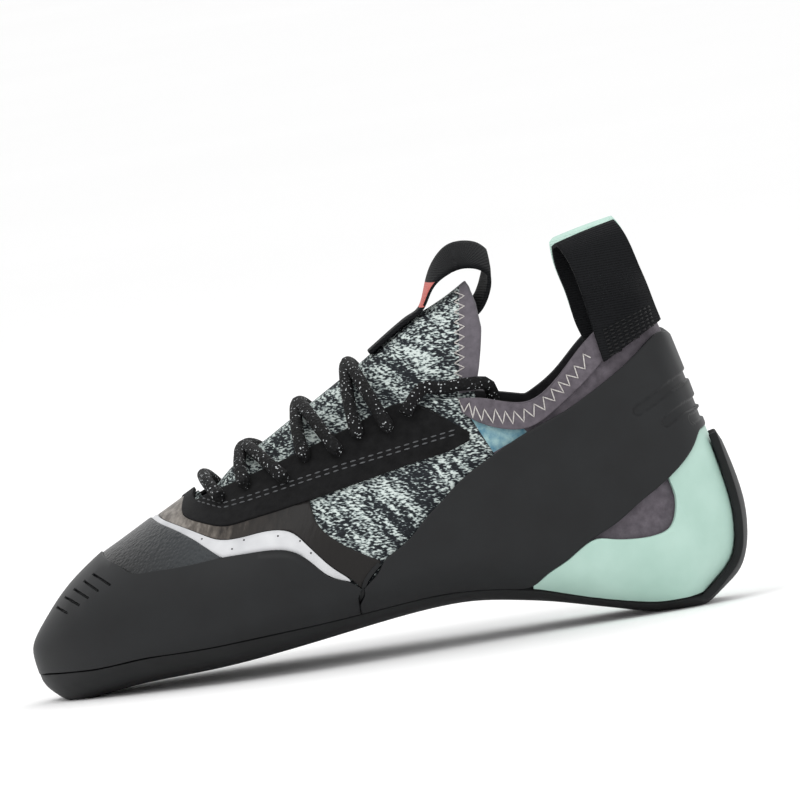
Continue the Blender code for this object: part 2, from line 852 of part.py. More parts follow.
def make_forefoot():
    """The toe rand and what it frames: toe patch, pale band, vamp film and eyestay."""
    edge = []
    toe_end = sole_reach(0.0)
    seam = ease(RAND_SEAM["along"][0])
    for i in range(13):
        station = seam + (toe_end - seam) * i / 12
        edge.append(disc("toe", station, turn_at(station, feather(station), -1)))
    low = edge + [(p, -q) for p, q in edge[-2::-1]]
    for i in range(len(edge)):
        station = seam + (toe_end - seam) * i / 12
        low[-1 - i] = disc("toe", station, turn_at(station, feather(station), 1))
    low = resample("toe", low, 38)
    patch_front = both_sides("toe", RAND_FRONT, RAND_RIDGE)
    outer_side = side_line("toe", RAND_SIDE, -1)
    outer_patch = side_line("toe", RAND_PATCH, -1)
    inner_side = side_line("toe", RAND_SIDE, 1)
    inner_patch = side_line("toe", RAND_PATCH, 1)
    high = chain(
        "toe",
        (outer_side, 8),
        (outer_patch, 5),
        (patch_front, 12),
        (inner_patch[::-1], 5),
        (inner_side[::-1], 8),
    )
    first = resample("toe", side_line("toe", RAND_SEAM, -1), 5)
    last = resample("toe", side_line("toe", RAND_SEAM, 1), 5)
    low[0], low[-1] = first[0], last[0]
    overlay("toe_rand", "toe", coons(low, high, first, last), RAND, (0.024, 0.026, 0.029), 0.55)

    patch_rear = both_sides("toe", PATCH_REAR, PATCH_RIDGE)
    grid = coons(
        resample("toe", patch_front, 12),
        resample("toe", patch_rear, 12),
        resample("toe", outer_patch[::-1], 5),
        resample("toe", inner_patch[::-1], 5),
    )
    overlay("toe_patch", "toe", grid, PATCH, (0.022, 0.024, 0.026), 0.35)

    low = chain("toe", (outer_side, 8), (patch_rear, 12), (inner_side[::-1], 8))[1:-1]
    band_side = {side: side_line("toe", rows_of(BAND_REAR, 0, BAND_CORNER + 1), side) for side in (-1, 1)}
    band_front = both_sides("toe", rows_of(BAND_REAR, BAND_CORNER, None), BAND_RIDGE)
    high = chain("toe", (band_side[-1], 7), (band_front, 12), (band_side[1][::-1], 7))
    overlay("vamp_band", "toe", between(low, high, 1), BAND, (0.75, 0.75, 0.76), 0.5)

    start = side_line("toe", RAND_SIDE, -1)[0]
    stop = side_line("toe", RAND_SIDE, 1)[0]
    low = [start] + high + [stop]
    rear = {side: side_line("toe", FILM_REAR, side) for side in (-1, 1)}
    stay = {side: side_line("toe", EYESTAY_SIDE, side) for side in (-1, 1)}
    nose = both_sides("toe", EYESTAY_FRONT, EYESTAY_RIDGE)
    top = chain(
        "toe",
        (rear[-1], 4),
        (stay[-1], 4),
        (nose, 12),
        (stay[1][::-1], 4),
        (rear[1][::-1], 4),
    )
    overlay("vamp_film", "toe", between(low, top, 4), FILM, (0.12, 0.11, 0.10), 0.4)

    back = {side: side_line("toe", EYESTAY_BACK, side) for side in (-1, 1)}
    low = chain(
        "toe",
        (back[-1], 8),
        (stay[-1], 4),
        (nose, 12),
        (stay[1][::-1], 4),
        (back[1][::-1], 8),
    )
    crest = {side: side_line("toe", EYESTAY_TOP, side) for side in (-1, 1)}
    throat = {}
    for side in (-1, 1):
        line = []
        for along, up in zip(COLLAR["along"], COLLAR["up"]):
            if along < EYESTAY_TOP["along"][-1] - 0.02:
                line.append(disc("toe", ease(along), collar_turn(ease(along), side)))
        throat[side] = line[::-1]
    front = ease(COLLAR["along"][0])
    across = [disc("toe", front, collar_turn(front, s) * 1.0) for s in (-1, 1)]
    high = chain(
        "toe",
        (crest[-1] + throat[-1], 14),
        ([across[0], disc("toe", front, 0.0), across[1]], 8),
        (throat[1][::-1] + crest[1][::-1], 14),
    )
    overlay("eyestay", "toe", between(low, high, 3), EYESTAY, (0.012, 0.012, 0.013), 0.7)


def make_heel():
    """The sling rand round the heel, the heel cup under it and the collar's cuff."""
    fork = ease(HEEL_FORK)
    seam = ease(RAND_SEAM["along"][0])

    def sole_line(first, last, count, side):
        spots = []
        for i in range(count + 1):
            station = first + (last - first) * i / count
            spots.append(disc("heel", station, turn_at(station, feather(station), side)))
        return spots

    tops = {side: side_line("heel", HEEL_TOP, side) for side in (-1, 1)}
    top_rear = both_sides("heel", rows_of(HEEL_TOP, 8, None), HEEL_TOP_RIDGE)
    forks = {side: sole_line(fork, fork, 1, side)[0] for side in (-1, 1)}
    arms = {side: side_line("heel", HEEL_LOW, side)[:2] for side in (-1, 1)}
    middle = {side: side_line("heel", HEEL_LOW, side)[1:4] for side in (-1, 1)}
    rear = both_sides("heel", rows_of(HEEL_LOW, 3, None), HEEL_LOW_RIDGE)
    low = chain(
        "heel",
        (sole_line(seam, fork, 8, -1), 6),
        ([forks[-1]] + arms[-1], 4),
        (middle[-1], 4),
        (rear, 10),
        (middle[1][::-1], 4),
        (arms[1][::-1] + [forks[1]], 4),
        (sole_line(seam, fork, 8, 1)[::-1], 6),
    )
    high = chain(
        "heel",
        (tops[-1][:5], 6),
        (tops[-1][4:7], 4),
        (tops[-1][6:9], 4),
        (top_rear, 10),
        (tops[1][8:5:-1], 4),
        (tops[1][6:3:-1], 4),
        (tops[1][4::-1], 6),
    )
    first = resample("heel", side_line("heel", RAND_SEAM, -1), 5)
    last = resample("heel", side_line("heel", RAND_SEAM, 1), 5)
    low[0], low[-1] = first[0], last[0]
    overlay("heel_rand", "heel", coons(low, high, first, last), RAND, (0.024, 0.026, 0.029), 0.55)

    back = next(i / 4000 for i in range(3990, 0, -1) if section(i / 4000).under < feather(i / 4000))
    outer_low = sole_line(fork, back, 16, -1)
    inner_low = sole_line(fork, back, 16, 1)
    low = chain(
        "heel",
        (outer_low[:6], 4),
        (outer_low[5:15], 8),
        (outer_low[14:] + inner_low[-2:13:-1], 10),
        (inner_low[14:4:-1], 8),
        (inner_low[5::-1], 4),
    )
    window = {side: side_line("heel", WINDOW, side) for side in (-1, 1)}
    high = chain(
        "heel",
        ([forks[-1]] + arms[-1], 4),
        (window[-1], 8),
        (rear, 10),
        (window[1][::-1], 8),
        (arms[1][::-1] + [forks[1]], 4),
    )
    low[0] = resample("heel", outer_low, 40)[1]
    low[-1] = resample("heel", inner_low, 40)[1]
    high[0], high[-1] = high[1], high[-2]
    high[0] = tuple(0.5 * (a + b) for a, b in zip(forks[-1], high[1]))
    high[-1] = tuple(0.5 * (a + b) for a, b in zip(forks[1], high[-2]))
    overlay("heel_cup", "heel", between(low, high, 5), CUP, (0.45, 0.65, 0.57), 0.5)

    low = resample("heel", both_sides("heel", CUFF_LOW, CUFF_RIDGE), 32)
    start, stop = ease(CUFF_LOW["along"][0]), ease(COLLAR["along"][-1])
    rim = {}
    for side in (-1, 1):
        line = []
        for i in range(15):
            station = start + (stop - start) * i / 14
            line.append(disc("heel", station, collar_turn(station, side)))
        rim[side] = line
    high = chain(
        "heel",
        (rim[-1], 14),
        ([rim[-1][-1], disc("heel", stop, 0.0), rim[1][-1]], 4),
        (rim[1][::-1], 14),
    )
    overlay("collar_cuff", "heel", between(low, high, 2), CUFF, (0.14, 0.13, 0.145), 0.95)


def ribbon(name, grid, facing, thickness, colour):
    """Webbing: rows of middle points, and the way its outer face looks at each."""
    mesh = bmesh.new()
    columns = len(grid[0]) - 1
    faces = []
    for side in (0.5, -0.5):
        layer = []
        for points, ways in zip(grid, facing):
            shifted = [p + way * (side * thickness) for p, way in zip(points, ways)]
            layer.append([mesh.verts.new(p) for p in shifted])
        faces.append(layer)
    top, bottom = faces
    for layer in faces:
        for low, high in zip(layer, layer[1:]):
            for i in range(columns):
                mesh.faces.new((low[i], low[i + 1], high[i + 1], high[i]))
    for i in range(columns):
        for j in (0, -1):
            mesh.faces.new((top[j][i], top[j][i + 1], bottom[j][i + 1], bottom[j][i]))
    for j in range(len(grid) - 1):
        for i in (0, -1):
            mesh.faces.new((top[j][i], top[j + 1][i], bottom[j + 1][i], bottom[j][i]))
    finish(mesh)
    return piece(name, mesh, colour, 0.8)


def smooth_path(points, count):
    """Even points along a smooth curve through the given ones."""
    knots = [0.0]
    for a, b in zip(points, points[1:]):
        knots.append(knots[-1] + (b - a).length)
    curves = []
    for axis in range(3):
        values = [p[axis] for p in points]
        slopes = []
        for i in range(len(values)):
            low, high = max(i - 1, 0), min(i + 1, len(values) - 1)
            slopes.append((values[high] - values[low]) / (knots[high] - knots[low]))
        curves.append((knots, values, slopes))
    made = []
    for i in range(count + 1):
        at = knots[-1] * i / count
        made.append(Vector([hermite(*curve, at) for curve in curves]))
    return made


def make_heel_loop(name, side, colour):
    """A pull loop of webbing: one leg sewn outside the collar, one inside it."""
    station, turn = seat(LOOP_ALONG, LOOP_UP, side)
    base = skin(station, turn)
    outward = normal(station, turn)
    outward = Vector((outward.x, outward.y, 0.0)).normalized()
    upright = Vector((0, 0, 1))
    rearward = upright.cross(outward) * -side
    width_way = rearward * math.cos(LOOP_TILT) + upright * math.sin(LOOP_TILT)
    rise_way = upright * math.cos(LOOP_TILT) - rearward * math.sin(LOOP_TILT)
    outer_depth = RAND - CUFF - SEAT - WEBBING / 2
    inner_depth = TONGUE_DEPTH + SEAT + WEBBING / 2
    points = []
    for out, up in zip(LOOP["out"], LOOP["up"]):
        points.append(base + outward * (out * LOOP_DEPTH) + rise_way * (up * LOOP_HEIGHT))
    path = smooth_path(points, 15)
    turnover = max(range(len(path)), key=lambda i: path[i].z)
    grid, facing = [], []
    for i, point in enumerate(path):
        ahead = path[min(i + 1, len(path) - 1)] - path[max(i - 1, 0)]
        free_way = ahead.cross(width_way).normalized() * side
        skew = upright * (LOOP_WIDTH * math.tan(LOOP_SKEW) * max(1 - i / 4, 0.0))
        height = (point.z - base.z) / LOOP_HEIGHT
        held = min(max((LOOP_FREE - height) / (LOOP_FREE - LOOP_SEWN), 0.0), 1.0)
        held = (3 - 2 * held) * held**2
        line, ways = [], []
        for n in (-0.5, -0.3, -0.1, 0.1, 0.3, 0.5):
            loose = point + (width_way * LOOP_WIDTH + skew) * n
            spot = ease((loose.x - TOE_X) / LENGTH)
            level = min(loose.z, base.z + LOOP_SEWN * LOOP_HEIGHT)
            at = turn_at(spot, level, side)
            way = normal(spot, at)
            sewn = place(spot, at, outer_depth if i < turnover else inner_depth)
            sewn.z += loose.z - level
            loose -= free_way * (WEBBING_BOW * 4 * n**2)
            line.append(loose.lerp(sewn, held))
            way = way if i < turnover else -way
            ways.append(free_way.lerp(way, held).normalized())
        grid.append(line)
        facing.append(ways)
    return ribbon(name, grid, facing, WEBBING, colour)


def make_tongue_tab():
    """The tongue's strap and pull tab: along its crest, up and over, and back inside."""
    lift = GAP + WEBBING / 2
    points = []
    for i in range(9):
        station = ease(TAB_START + (TAB_LEAVES - TAB_START) * i / 8)
        points.append(place(station, 0.0, tongue_depth(station, 0.0) - lift))
    base = place(ease(TONGUE_TOP), 0.0, tongue_depth(ease(TONGUE_TOP), 0.0))
    for along, up in zip(TAB["along"], TAB["up"]):
        points.append(base + Vector((along * TAB_LENGTH, 0.0, up * TAB_HEIGHT)))
    path = smooth_path(points, 24)
    grid, facing = [], []
    crest = sum((b - a).length for a, b in zip(points[:9], points[1:9]))
    gone = 0.0
    for i, point in enumerate(path):
        if i:
            gone += (point - path[i - 1]).length
        lean = min(max((gone - crest) / TAB_LENGTH, 0.0), 1.0)
        tail = min(max((len(path) - 1 - i) / 6, 0.0), 1.0)
        tilt = TAB_TILT * lean * tail
        across = Vector((0, math.cos(tilt), math.sin(tilt)))
        ahead = path[min(i + 1, len(path) - 1)] - path[max(i - 1, 0)]
        way = ahead.cross(across).normalized()
        grid.append([point + across * (TAB_WIDTH * n) - way * (abs(n) * 2 * WEBBING_BOW) for n in (-0.5, 0.0, 0.5)])
        facing.append([way] * 3)
    return ribbon("tongue_loop", grid, facing, WEBBING, (0.012, 0.012, 0.013))


def lace_curve(name, points):
    curve = bpy.data.curves.new(name, "CURVE")
    curve.dimensions = "3D"
    curve.bevel_depth = LACE / 2
    curve.bevel_resolution = 2
    curve.use_fill_caps = True
    spline = curve.splines.new("POLY")
    spline.points.add(len(points) - 1)
    for spot, point in zip(spline.points, points):
        spot.co = (*point, 1.0)
    thing = bpy.data.objects.new(name, curve)
    bpy.context.scene.collection.objects.link(thing)
    curve.materials.append(material(name + "_finish", (0.015, 0.015, 0.017), 0.85))
    return thing


def strand(name, first, last):
    """One run of lace over the throat, from an eyelet outside to one inside."""
    rest = RAND - EYESTAY - GAP - LACE / 2
    crest = TONGUE_CREST - SEAT - LACE / 2
    ends = [seat(EYELETS["along"][n], EYELETS["up"][n], side) for n, side in ((first, -1), (last, 1))]
    points = []
    for i in range(13):
        u = i / 12
        turn = ends[0][1] + (ends[1][1] - ends[0][1]) * u
        along = EYELETS["along"][first] * (1 - u) + EYELETS["along"][last] * u
        station = ease(along - LACE_SWEEP * 4 * u * (1 - u))
        edge = abs(collar_turn(station, -1 if turn < 0 else 1))
        over = min(max(1.15 - abs(turn) / edge, 0.0), 1.0)
        depth = rest + (crest - rest) * (3 - 2 * over) * over**2
        points.append(place(station, turn, depth))
    return lace_curve(name, points)


def make_laces():
    """A bar over the lowest eyelets, three crossings and the free end."""
    strand("lace_bar", 0, 0)
    for n in range(3):
        front, back = 2 * n + 1, 2 * n + 2
        crossing = strand(f"lace_crossing_{n + 1}", front, back)
        other = strand(f"lace_cutter_{n + 1}", back, front)
        other.hide_render = True
        other.display_type = "WIRE"
        data = bpy.data.meshes.new_from_object(crossing.evaluated_get(bpy.context.evaluated_depsgraph_get()))
        name = crossing.name
        colour = crossing.data.materials[0]
        bpy.data.objects.remove(crossing)
        joined = bpy.data.objects.new(name, data)
        bpy.context.scene.collection.objects.link(joined)
        data.materials.clear()
        data.materials.append(colour)
        guide = bpy.data.objects.new(
            other.name + "_mesh",
            bpy.data.meshes.new_from_object(other.evaluated_get(bpy.context.evaluated_depsgraph_get())),
        )
        bpy.context.scene.collection.objects.link(guide)
        bpy.data.objects.remove(other)
        guide.hide_render = True
        guide.display_type = "WIRE"
        cut = joined.modifiers.new("join", "BOOLEAN")
        cut.operation = "UNION"
        cut.object = guide
    points = []
    for along, up, depth in zip(FREE_END["along"], FREE_END["up"], FREE_END["depth"]):
        points.append(place(*seat(along, up, -1), depth * LACE))
    lace_curve("lace_end", smooth_path(points, 20))


def main():
    for thing in list(bpy.data.objects):
        bpy.data.objects.remove(thing)
    make_outsole()
    make_insole()
    make_upper()
    make_tongue()
    make_forefoot()
    make_heel()
    make_heel_loop("heel_loop_outer", -1, (0.012, 0.012, 0.013))
    make_heel_loop("heel_loop_inner", 1, (0.45, 0.65, 0.57))
    make_tongue_tab()
    make_laces()


main()
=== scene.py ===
# %% [markdown]
# # A laced climbing shoe
# A climbing shoe is a thin sock of knit and microfibre, wrapped in rubber. The packed
# CAD model gives every layer its place. This script gives each layer its surface: it
# copies the layer's solid, smooths it, works the small forms into it, and paints it.

# %% The frame
import math

import bmesh
import bpy
from mathutils import Matrix, Vector
from mathutils.bvhtree import BVHTree


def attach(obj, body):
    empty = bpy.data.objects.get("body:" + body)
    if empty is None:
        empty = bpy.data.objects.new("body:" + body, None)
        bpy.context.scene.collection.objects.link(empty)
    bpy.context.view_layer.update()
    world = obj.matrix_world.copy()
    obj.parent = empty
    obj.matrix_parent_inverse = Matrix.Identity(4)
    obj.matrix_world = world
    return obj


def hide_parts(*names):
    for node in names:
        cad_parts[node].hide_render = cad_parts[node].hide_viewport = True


MM = 0.001
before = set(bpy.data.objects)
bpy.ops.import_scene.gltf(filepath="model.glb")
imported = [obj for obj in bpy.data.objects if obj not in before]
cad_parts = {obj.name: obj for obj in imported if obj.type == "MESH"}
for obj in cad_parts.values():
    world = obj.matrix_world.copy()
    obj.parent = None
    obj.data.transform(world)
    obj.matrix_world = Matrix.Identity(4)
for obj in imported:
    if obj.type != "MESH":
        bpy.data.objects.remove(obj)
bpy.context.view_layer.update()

# %% [markdown]
# ## Camera
# The picture shows the outer side of the shoe through a long lens, with the heel lifted.
# Here the shoe stands on its sole, so the camera rolls instead of the shoe. `seen` turns
# a spot of the 800 by 800 picture into a ray, which later puts small pieces exactly
# where they belong on the surface under them.

# %% The camera and its rays
ROLL = math.radians(8.9)
ELEVATION = math.radians(3.2)
DISTANCE = 4.0
FRAME_WIDTH = 243.6 * MM
AIM = Vector((-74.0, -4.0, 75.6)) * MM
PICTURE = 800
CENTRE = PICTURE / 2
SENSOR = 36

back = Vector((0, -math.cos(ELEVATION), math.sin(ELEVATION)))
level = Vector((1, 0, 0))
rise = back.cross(level)
right = level * math.cos(ROLL) - rise * math.sin(ROLL)
up = rise * math.cos(ROLL) + level * math.sin(ROLL)

camera = bpy.data.objects.new("camera", bpy.data.cameras.new("camera"))
bpy.context.scene.collection.objects.link(camera)
bpy.context.scene.camera = camera
camera.data.sensor_width = SENSOR
camera.data.lens = SENSOR * DISTANCE / FRAME_WIDTH
camera.data.clip_end = 100
camera.matrix_world = Matrix(
    (
        (right.x, up.x, back.x, AIM.x + back.x * DISTANCE),
        (right.y, up.y, back.y, AIM.y + back.y * DISTANCE),
        (right.z, up.z, back.z, AIM.z + back.z * DISTANCE),
        (0, 0, 0, 1),
    )
)


def seen(px, py, side=-1):
    """Ray through a spot of the picture, or for side 1 its mirror image."""
    aside = (px - CENTRE) / PICTURE * FRAME_WIDTH
    above = (CENTRE - py) / PICTURE * FRAME_WIDTH
    start = AIM + back * DISTANCE
    way = (AIM + right * aside + up * above - start).normalized()
    if side > 0:
        start, way = (Vector((v.x, -v.y, v.z)) for v in (start, way))
    return start, way


def pixel(point):
    """The spot of the picture where a point shows."""
    offset = point - (AIM + back * DISTANCE)
    scale = DISTANCE / -offset.dot(back) / FRAME_WIDTH * PICTURE
    return CENTRE + offset.dot(right) * scale, CENTRE - offset.dot(up) * scale


print("lens", round(camera.data.lens), "mm,", round(PICTURE / FRAME_WIDTH * MM, 2), "pixels a millimetre")

# %% [markdown]
# ## The free lace end
# The ends of the lace are knotted and tucked behind the tongue. One end shows: from the
# last eyelet it rises over the edge of the collar and drops into the shoe. Its route
# repeats the eleven points that the part's source starts from. The source sets them by
# their depth under the skin, and here they are in millimetres. A cord bends without
# corners, where straight runs and arcs would look like bent wire, so a smooth curve is
# led through them, read to a tenth of a millimetre, and a round tube follows it.

# %% The free end's route
LACE = 4.0 * MM
LACE_SIDES = 14
END_STEPS = 20
END_PLACES = 1
END_ROUTE = [
    (-73.123, -29.546, 72.606),
    (-69.596, -27.813, 76.953),
    (-66.076, -25.316, 79.502),
    (-61.554, -24.946, 78.398),
    (-56.127, -25.223, 78.628),
    (-51.389, -24.986, 78.322),
    (-47.802, -23.024, 77.854),
    (-46.097, -20.712, 75.308),
    (-46.320, -19.870, 70.847),
    (-47.765, -20.517, 65.752),
    (-49.195, -21.879, 60.307),
]


def gone_along(points):
    """How far along a line each of its points lies."""
    gone = [0.0]
    for a, b in zip(points, points[1:]):
        gone.append(gone[-1] + (b - a).length)
    return gone


def smooth_path(points, count):
    """Even points along a smooth curve through the given ones."""
    gone = gone_along(points)
    last = len(points) - 1
    slopes = []
    for i in range(last + 1):
        low, high = max(i - 1, 0), min(i + 1, last)
        slopes.append((points[high] - points[low]) / (gone[high] - gone[low]))
    made, i = [], 0
    for n in range(count + 1):
        at = gone[-1] * n / count
        while i < last - 1 and at > gone[i + 1]:
            i += 1
        step = gone[i + 1] - gone[i]
        u = (at - gone[i]) / step
        leave, arrive = u * (1 - u) ** 2 * step, u * u * (u - 1) * step
        base = points[i].lerp(points[i + 1], (3 - 2 * u) * u * u)
        made.append(base + slopes[i] * leave + slopes[i + 1] * arrive)
    return made


def tube(points, thickness, sides):
    """A round tube along points: one ring, carried from point to point and bridged."""
    mesh = bmesh.new()
    rings = []
    side = None
    for i, point in enumerate(points):
        way = (points[min(i + 1, len(points) - 1)] - points[max(i - 1, 0)]).normalized()
        side = way.orthogonal() if side is None else side - way * side.dot(way)
        side.normalize()
        turn = Matrix((side, way.cross(side), way)).transposed().to_4x4()
        ring = bmesh.ops.create_circle(
            mesh,
            segments=sides,
            radius=thickness / 2,
            matrix=Matrix.Translation(point) @ turn,
            cap_ends=i in (0, len(points) - 1),
        )
        verts = ring["verts"]
        rings.append([e for e in mesh.edges if e.verts[0] in verts and e.verts[1] in verts])
    for a, b in zip(rings, rings[1:]):
        bmesh.ops.bridge_loops(mesh, edges=a + b)
    bmesh.ops.recalc_face_normals(mesh, faces=mesh.faces)
    return mesh


curve = smooth_path([Vector(p) for p in END_ROUTE], END_STEPS)
route = [Vector([round(c, END_PLACES) for c in p]) * MM for p in curve]
end_mesh = bpy.data.meshes.new("lace_end_cord")
end_tube = tube(route, LACE, LACE_SIDES)
end_tube.to_mesh(end_mesh)
end_tube.free()
end_mesh.shade_smooth()
lace_end = bpy.data.objects.new("lace_end_cord", end_mesh)
bpy.context.scene.collection.objects.link(lace_end)
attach(lace_end, "root")
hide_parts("lace_end")

# %% [markdown]
# ## Finishes
# Rubber, suede, knit and webbing differ in how rough they are and in the size of their
# grain. Image textures could show that, but they would need pictures of each cloth. Here
# each finish is a small node tree that reads Object coordinates, so that its pattern has a
# real size. `paint` turns a hex colour to linear values, `add` adds a node with its
# settings and links, `grain` is noise of a real size, and `coat` colours and raises.


# %% Colour and nodes
def paint(code):
    """An sRGB hex colour as the linear values that a socket takes."""
    parts = [int(code[i : i + 2], 16) / 255 for i in (1, 3, 5)]
    linear = [p / 12.92 if p <= 0.04045 else ((p + 0.055) / 1.055) ** 2.4 for p in parts]
    return (*linear, 1.0)


def add(tree, kind, inputs=None, stops=(), **settings):
    """A node with its settings and links. Stops are a ramp's places and hex colours."""
    made = tree.nodes.new("ShaderNode" + kind)
    for name, value in settings.items():
        setattr(made, name, value)
    for name, value in (inputs or {}).items():
        if isinstance(value, bpy.types.NodeSocket):
            tree.links.new(value, made.inputs[name])
        else:
            made.inputs[name].default_value = value
    if stops:
        bar = made.color_ramp.elements
        while len(bar) < len(stops):
            bar.new(0.5)
        for element, (at, code) in zip(bar, stops):
            element.position = at
            element.color = paint(code)
    return made


def finish_of(name, **sockets):
    """A material, its tree, its shader and its Object coordinates."""
    made = bpy.data.materials.new(name)
    made.use_nodes = True
    tree = made.node_tree
    shader = tree.nodes["Principled BSDF"]
    for socket, value in sockets.items():
        shader.inputs[socket.replace("_", " ")].default_value = value
    place = add(tree, "TexCoord").outputs["Object"]
    return made, tree, shader, place


def grain(tree, place, size, detail=2.0, stretch=(1, 1, 1), turn=(0, 0, 0), rough=0.5):
    """Noise whose spots have this size in metres, stretched and then turned."""
    wide = [1 / part for part in stretch]
    spot = add(
        tree,
        "Mapping",
        {"Vector": place, "Scale": wide, "Rotation": turn},
        vector_type="TEXTURE",
    )
    sockets = {"Vector": spot.outputs[0], "Scale": 1 / size, "Detail": detail, "Roughness": rough}
    return add(tree, "TexNoise", sockets).outputs["Fac"]


def coat(tree, shader, tone, stops, height=None, depth=0.0, strength=1.0):
    """Colour a finish by its tone, and raise it by its height where it has one."""
    colours = add(tree, "ValToRGB", {"Fac": tone}, stops)
    tree.links.new(colours.outputs["Color"], shader.inputs["Base Color"])
    if height is not None:
        relief = add(tree, "Bump", {"Height": height, "Distance": depth, "Strength": strength})
        tree.links.new(relief.outputs["Normal"], shader.inputs["Normal"])


print("mint in linear values", [round(v, 3) for v in paint("#b0cdc2")])

# %% [markdown]
# Climbing rubber is moulded flat, ground and glued on. It is a soft black with a dusty
# bloom, so it is rough, with a fine grain and faint paler clouds. The toe patch is the
# same rubber with a leather grain, and shines more. The white strip is a coated cloth,
# smooth with a very fine grain.

# %% Rubbers and the coated strip
CLOUD = 14 * MM
GRIT = 0.35 * MM
GRIT_DEPTH = 0.04 * MM
LEATHER_CELL = 1.1 * MM
LEATHER_WRINKLE = 2.4 * MM
PATCH_DARK_AT, PATCH_PALE_AT = -168 * MM, -142 * MM


def ground_rubber(name, dark, pale, roughness, grit=GRIT, gleam=0.3):
    """Rubber with a fine grit and faint clouds."""
    made, tree, shader, place = finish_of(name, Roughness=roughness, IOR=1.5, Specular_IOR_Level=gleam)
    clouds = grain(tree, place, CLOUD, 3)
    coat(tree, shader, clouds, [(0.3, dark), (0.75, pale)], grain(tree, place, grit, 3), GRIT_DEPTH, 0.5)
    return made


rand_rubber = ground_rubber("ground_black_rubber", "#0f1012", "#151719", 0.5)
sole_rubber = ground_rubber("sole_black_rubber", "#0e0f10", "#141517", 0.55)
mint_rubber = ground_rubber("mint_rubber", "#a3c2b6", "#b0cdc2", 0.45, 0.5 * MM, 0.4)

grained, tree, shader, place = finish_of(
    "grained_toe_rubber", Roughness=0.33, IOR=1.5, Specular_IOR_Level=0.3
)
cells = add(tree, "TexVoronoi", {"Vector": place, "Scale": 1 / LEATHER_CELL}, feature="SMOOTH_F1")
wrinkle = grain(tree, place, LEATHER_WRINKLE, 6, stretch=(0.5, 1, 1), rough=0.7)
mixed = add(tree, "Math", {0: cells.outputs["Distance"], 1: wrinkle}, operation="ADD")
front = add(tree, "SeparateXYZ", {"Vector": place}).outputs["X"]
# Painted highlight: the patch is painted paler towards the rear, where the key light catches it, and
# darker at the tip.
painted_highlight = add(tree, "MapRange", {"Value": front, "From Min": PATCH_DARK_AT, "From Max": PATCH_PALE_AT})
coat(
    tree,
    shader,
    painted_highlight.outputs[0],
    [(0.0, "#08090a"), (1.0, "#2c3033")],
    mixed.outputs[0],
    0.35 * MM,
)

coated, tree, shader, place = finish_of("white_coated_strip", Roughness=0.45)
soft = grain(tree, place, 9 * MM, 3)
fine = grain(tree, place, 0.6 * MM, 2)
coat(tree, shader, soft, [(0.3, "#b9babd"), (0.7, "#cfd0d2")], fine, 0.03 * MM, 0.4)
print("rubbers", [m.name for m in (rand_rubber, sole_rubber, mint_rubber, grained, coated)])

# %% [markdown]
# The film over the vamp is a thin, smoky coating: brown where it wrinkles against the
# suede, darker and speckled towards the rear. One factor adds the place along the shoe to
# the streaks, so that the wrinkles thin out where the film darkens.

# %% Film
FILM_BROWN_AT, FILM_DARK_AT = -142 * MM, -105 * MM
STREAK = 2.6 * MM
FILM_SHARE = 0.72

film, tree, shader, place = finish_of("smoky_film", Roughness=0.42, Specular_IOR_Level=0.2)
apart = add(tree, "SeparateXYZ", {"Vector": place}).outputs["X"]
shade = add(tree, "MapRange", {"Value": apart, "From Min": FILM_BROWN_AT, "From Max": FILM_DARK_AT})
streaks = grain(tree, place, STREAK, 4, stretch=(1.4, 0.6, 0.4), turn=(0, 0.3, 0), rough=0.6)
summed = add(tree, "Math", {0: shade.outputs[0], 1: streaks}, operation="ADD")
scaled = add(tree, "Math", {0: summed.outputs[0], 1: FILM_SHARE}, operation="MULTIPLY")
coat(
    tree,
    shader,
    scaled.outputs[0],
    [(0.27, "#857f78"), (0.42, "#59534d"), (0.60, "#2c2825"), (0.90, "#1d1b1a")],
    streaks,
    0.35 * MM,
    0.6,
)
print("film from", FILM_BROWN_AT, "to", FILM_DARK_AT, "m")

# %% [markdown]
# Suede and microfibre are brushed, so light catches their fibres at a flat angle. Hair
# particles could stand for the fibres, but they are far too fine to see one by one. Sheen
# gives their glow, and a very fine noise gives the nap.

# %% Suede and microfibre
BRUSH_PATCH = 2.5 * MM
NAP_DEPTH = 0.12 * MM


def brushed(name, dark, pale, nap, sheen):
    """Brushed cloth: patchy in tone, with a nap of this size."""
    made, tree, shader, place = finish_of(
        name, Roughness=0.92, Sheen_Weight=sheen, Sheen_Roughness=0.5, Specular_IOR_Level=0.15
    )
    patchy = grain(tree, place, BRUSH_PATCH, 4, rough=0.6)
    fibres = grain(tree, place, nap, 3, rough=0.7)
    coat(tree, shader, patchy, [(0.3, dark), (0.72, pale)], fibres, NAP_DEPTH, 0.6)
    return made


suede = brushed("black_suede", "#0d0d0e", "#19191a", 0.5 * MM, 0.04)
grey_microfibre = brushed("grey_microfibre", "#504b51", "#676168", 0.45 * MM, 0.15)
dark_lining = brushed("dark_lining", "#2e2d30", "#3b3a3d", 0.6 * MM, 0.05)
binding_cloth = brushed("grey_binding", "#58545a", "#6b666d", 0.4 * MM, 0.12)
blue_print = brushed("mottled_blue_microfibre", "#4f7c92", "#9dbcbc", 0.4 * MM, 0.1)
print("brushed", [m.name for m in (suede, grey_microfibre, dark_lining, binding_cloth, blue_print)])

# %% [markdown]
# The knit is heathered: pale and charcoal yarns swap at random along each row, so the
# cloth shows short wavy dashes. Noise stretched along the rows gives the stitches, and two
# coarser noises that fall at their own angle gather them into bands of yarn. A slow warp
# keeps the rows from being straight.

# %% Heathered knit
WARP_SIZE = 12 * MM
WARP = (2.0 * MM, 0.0, 2.0 * MM)
STITCH, YARN, BAND = 0.5 * MM, 2.2 * MM, 8 * MM
STITCH_SHARE, YARN_SHARE, BAND_SHARE = 0.52, 0.36, 0.12


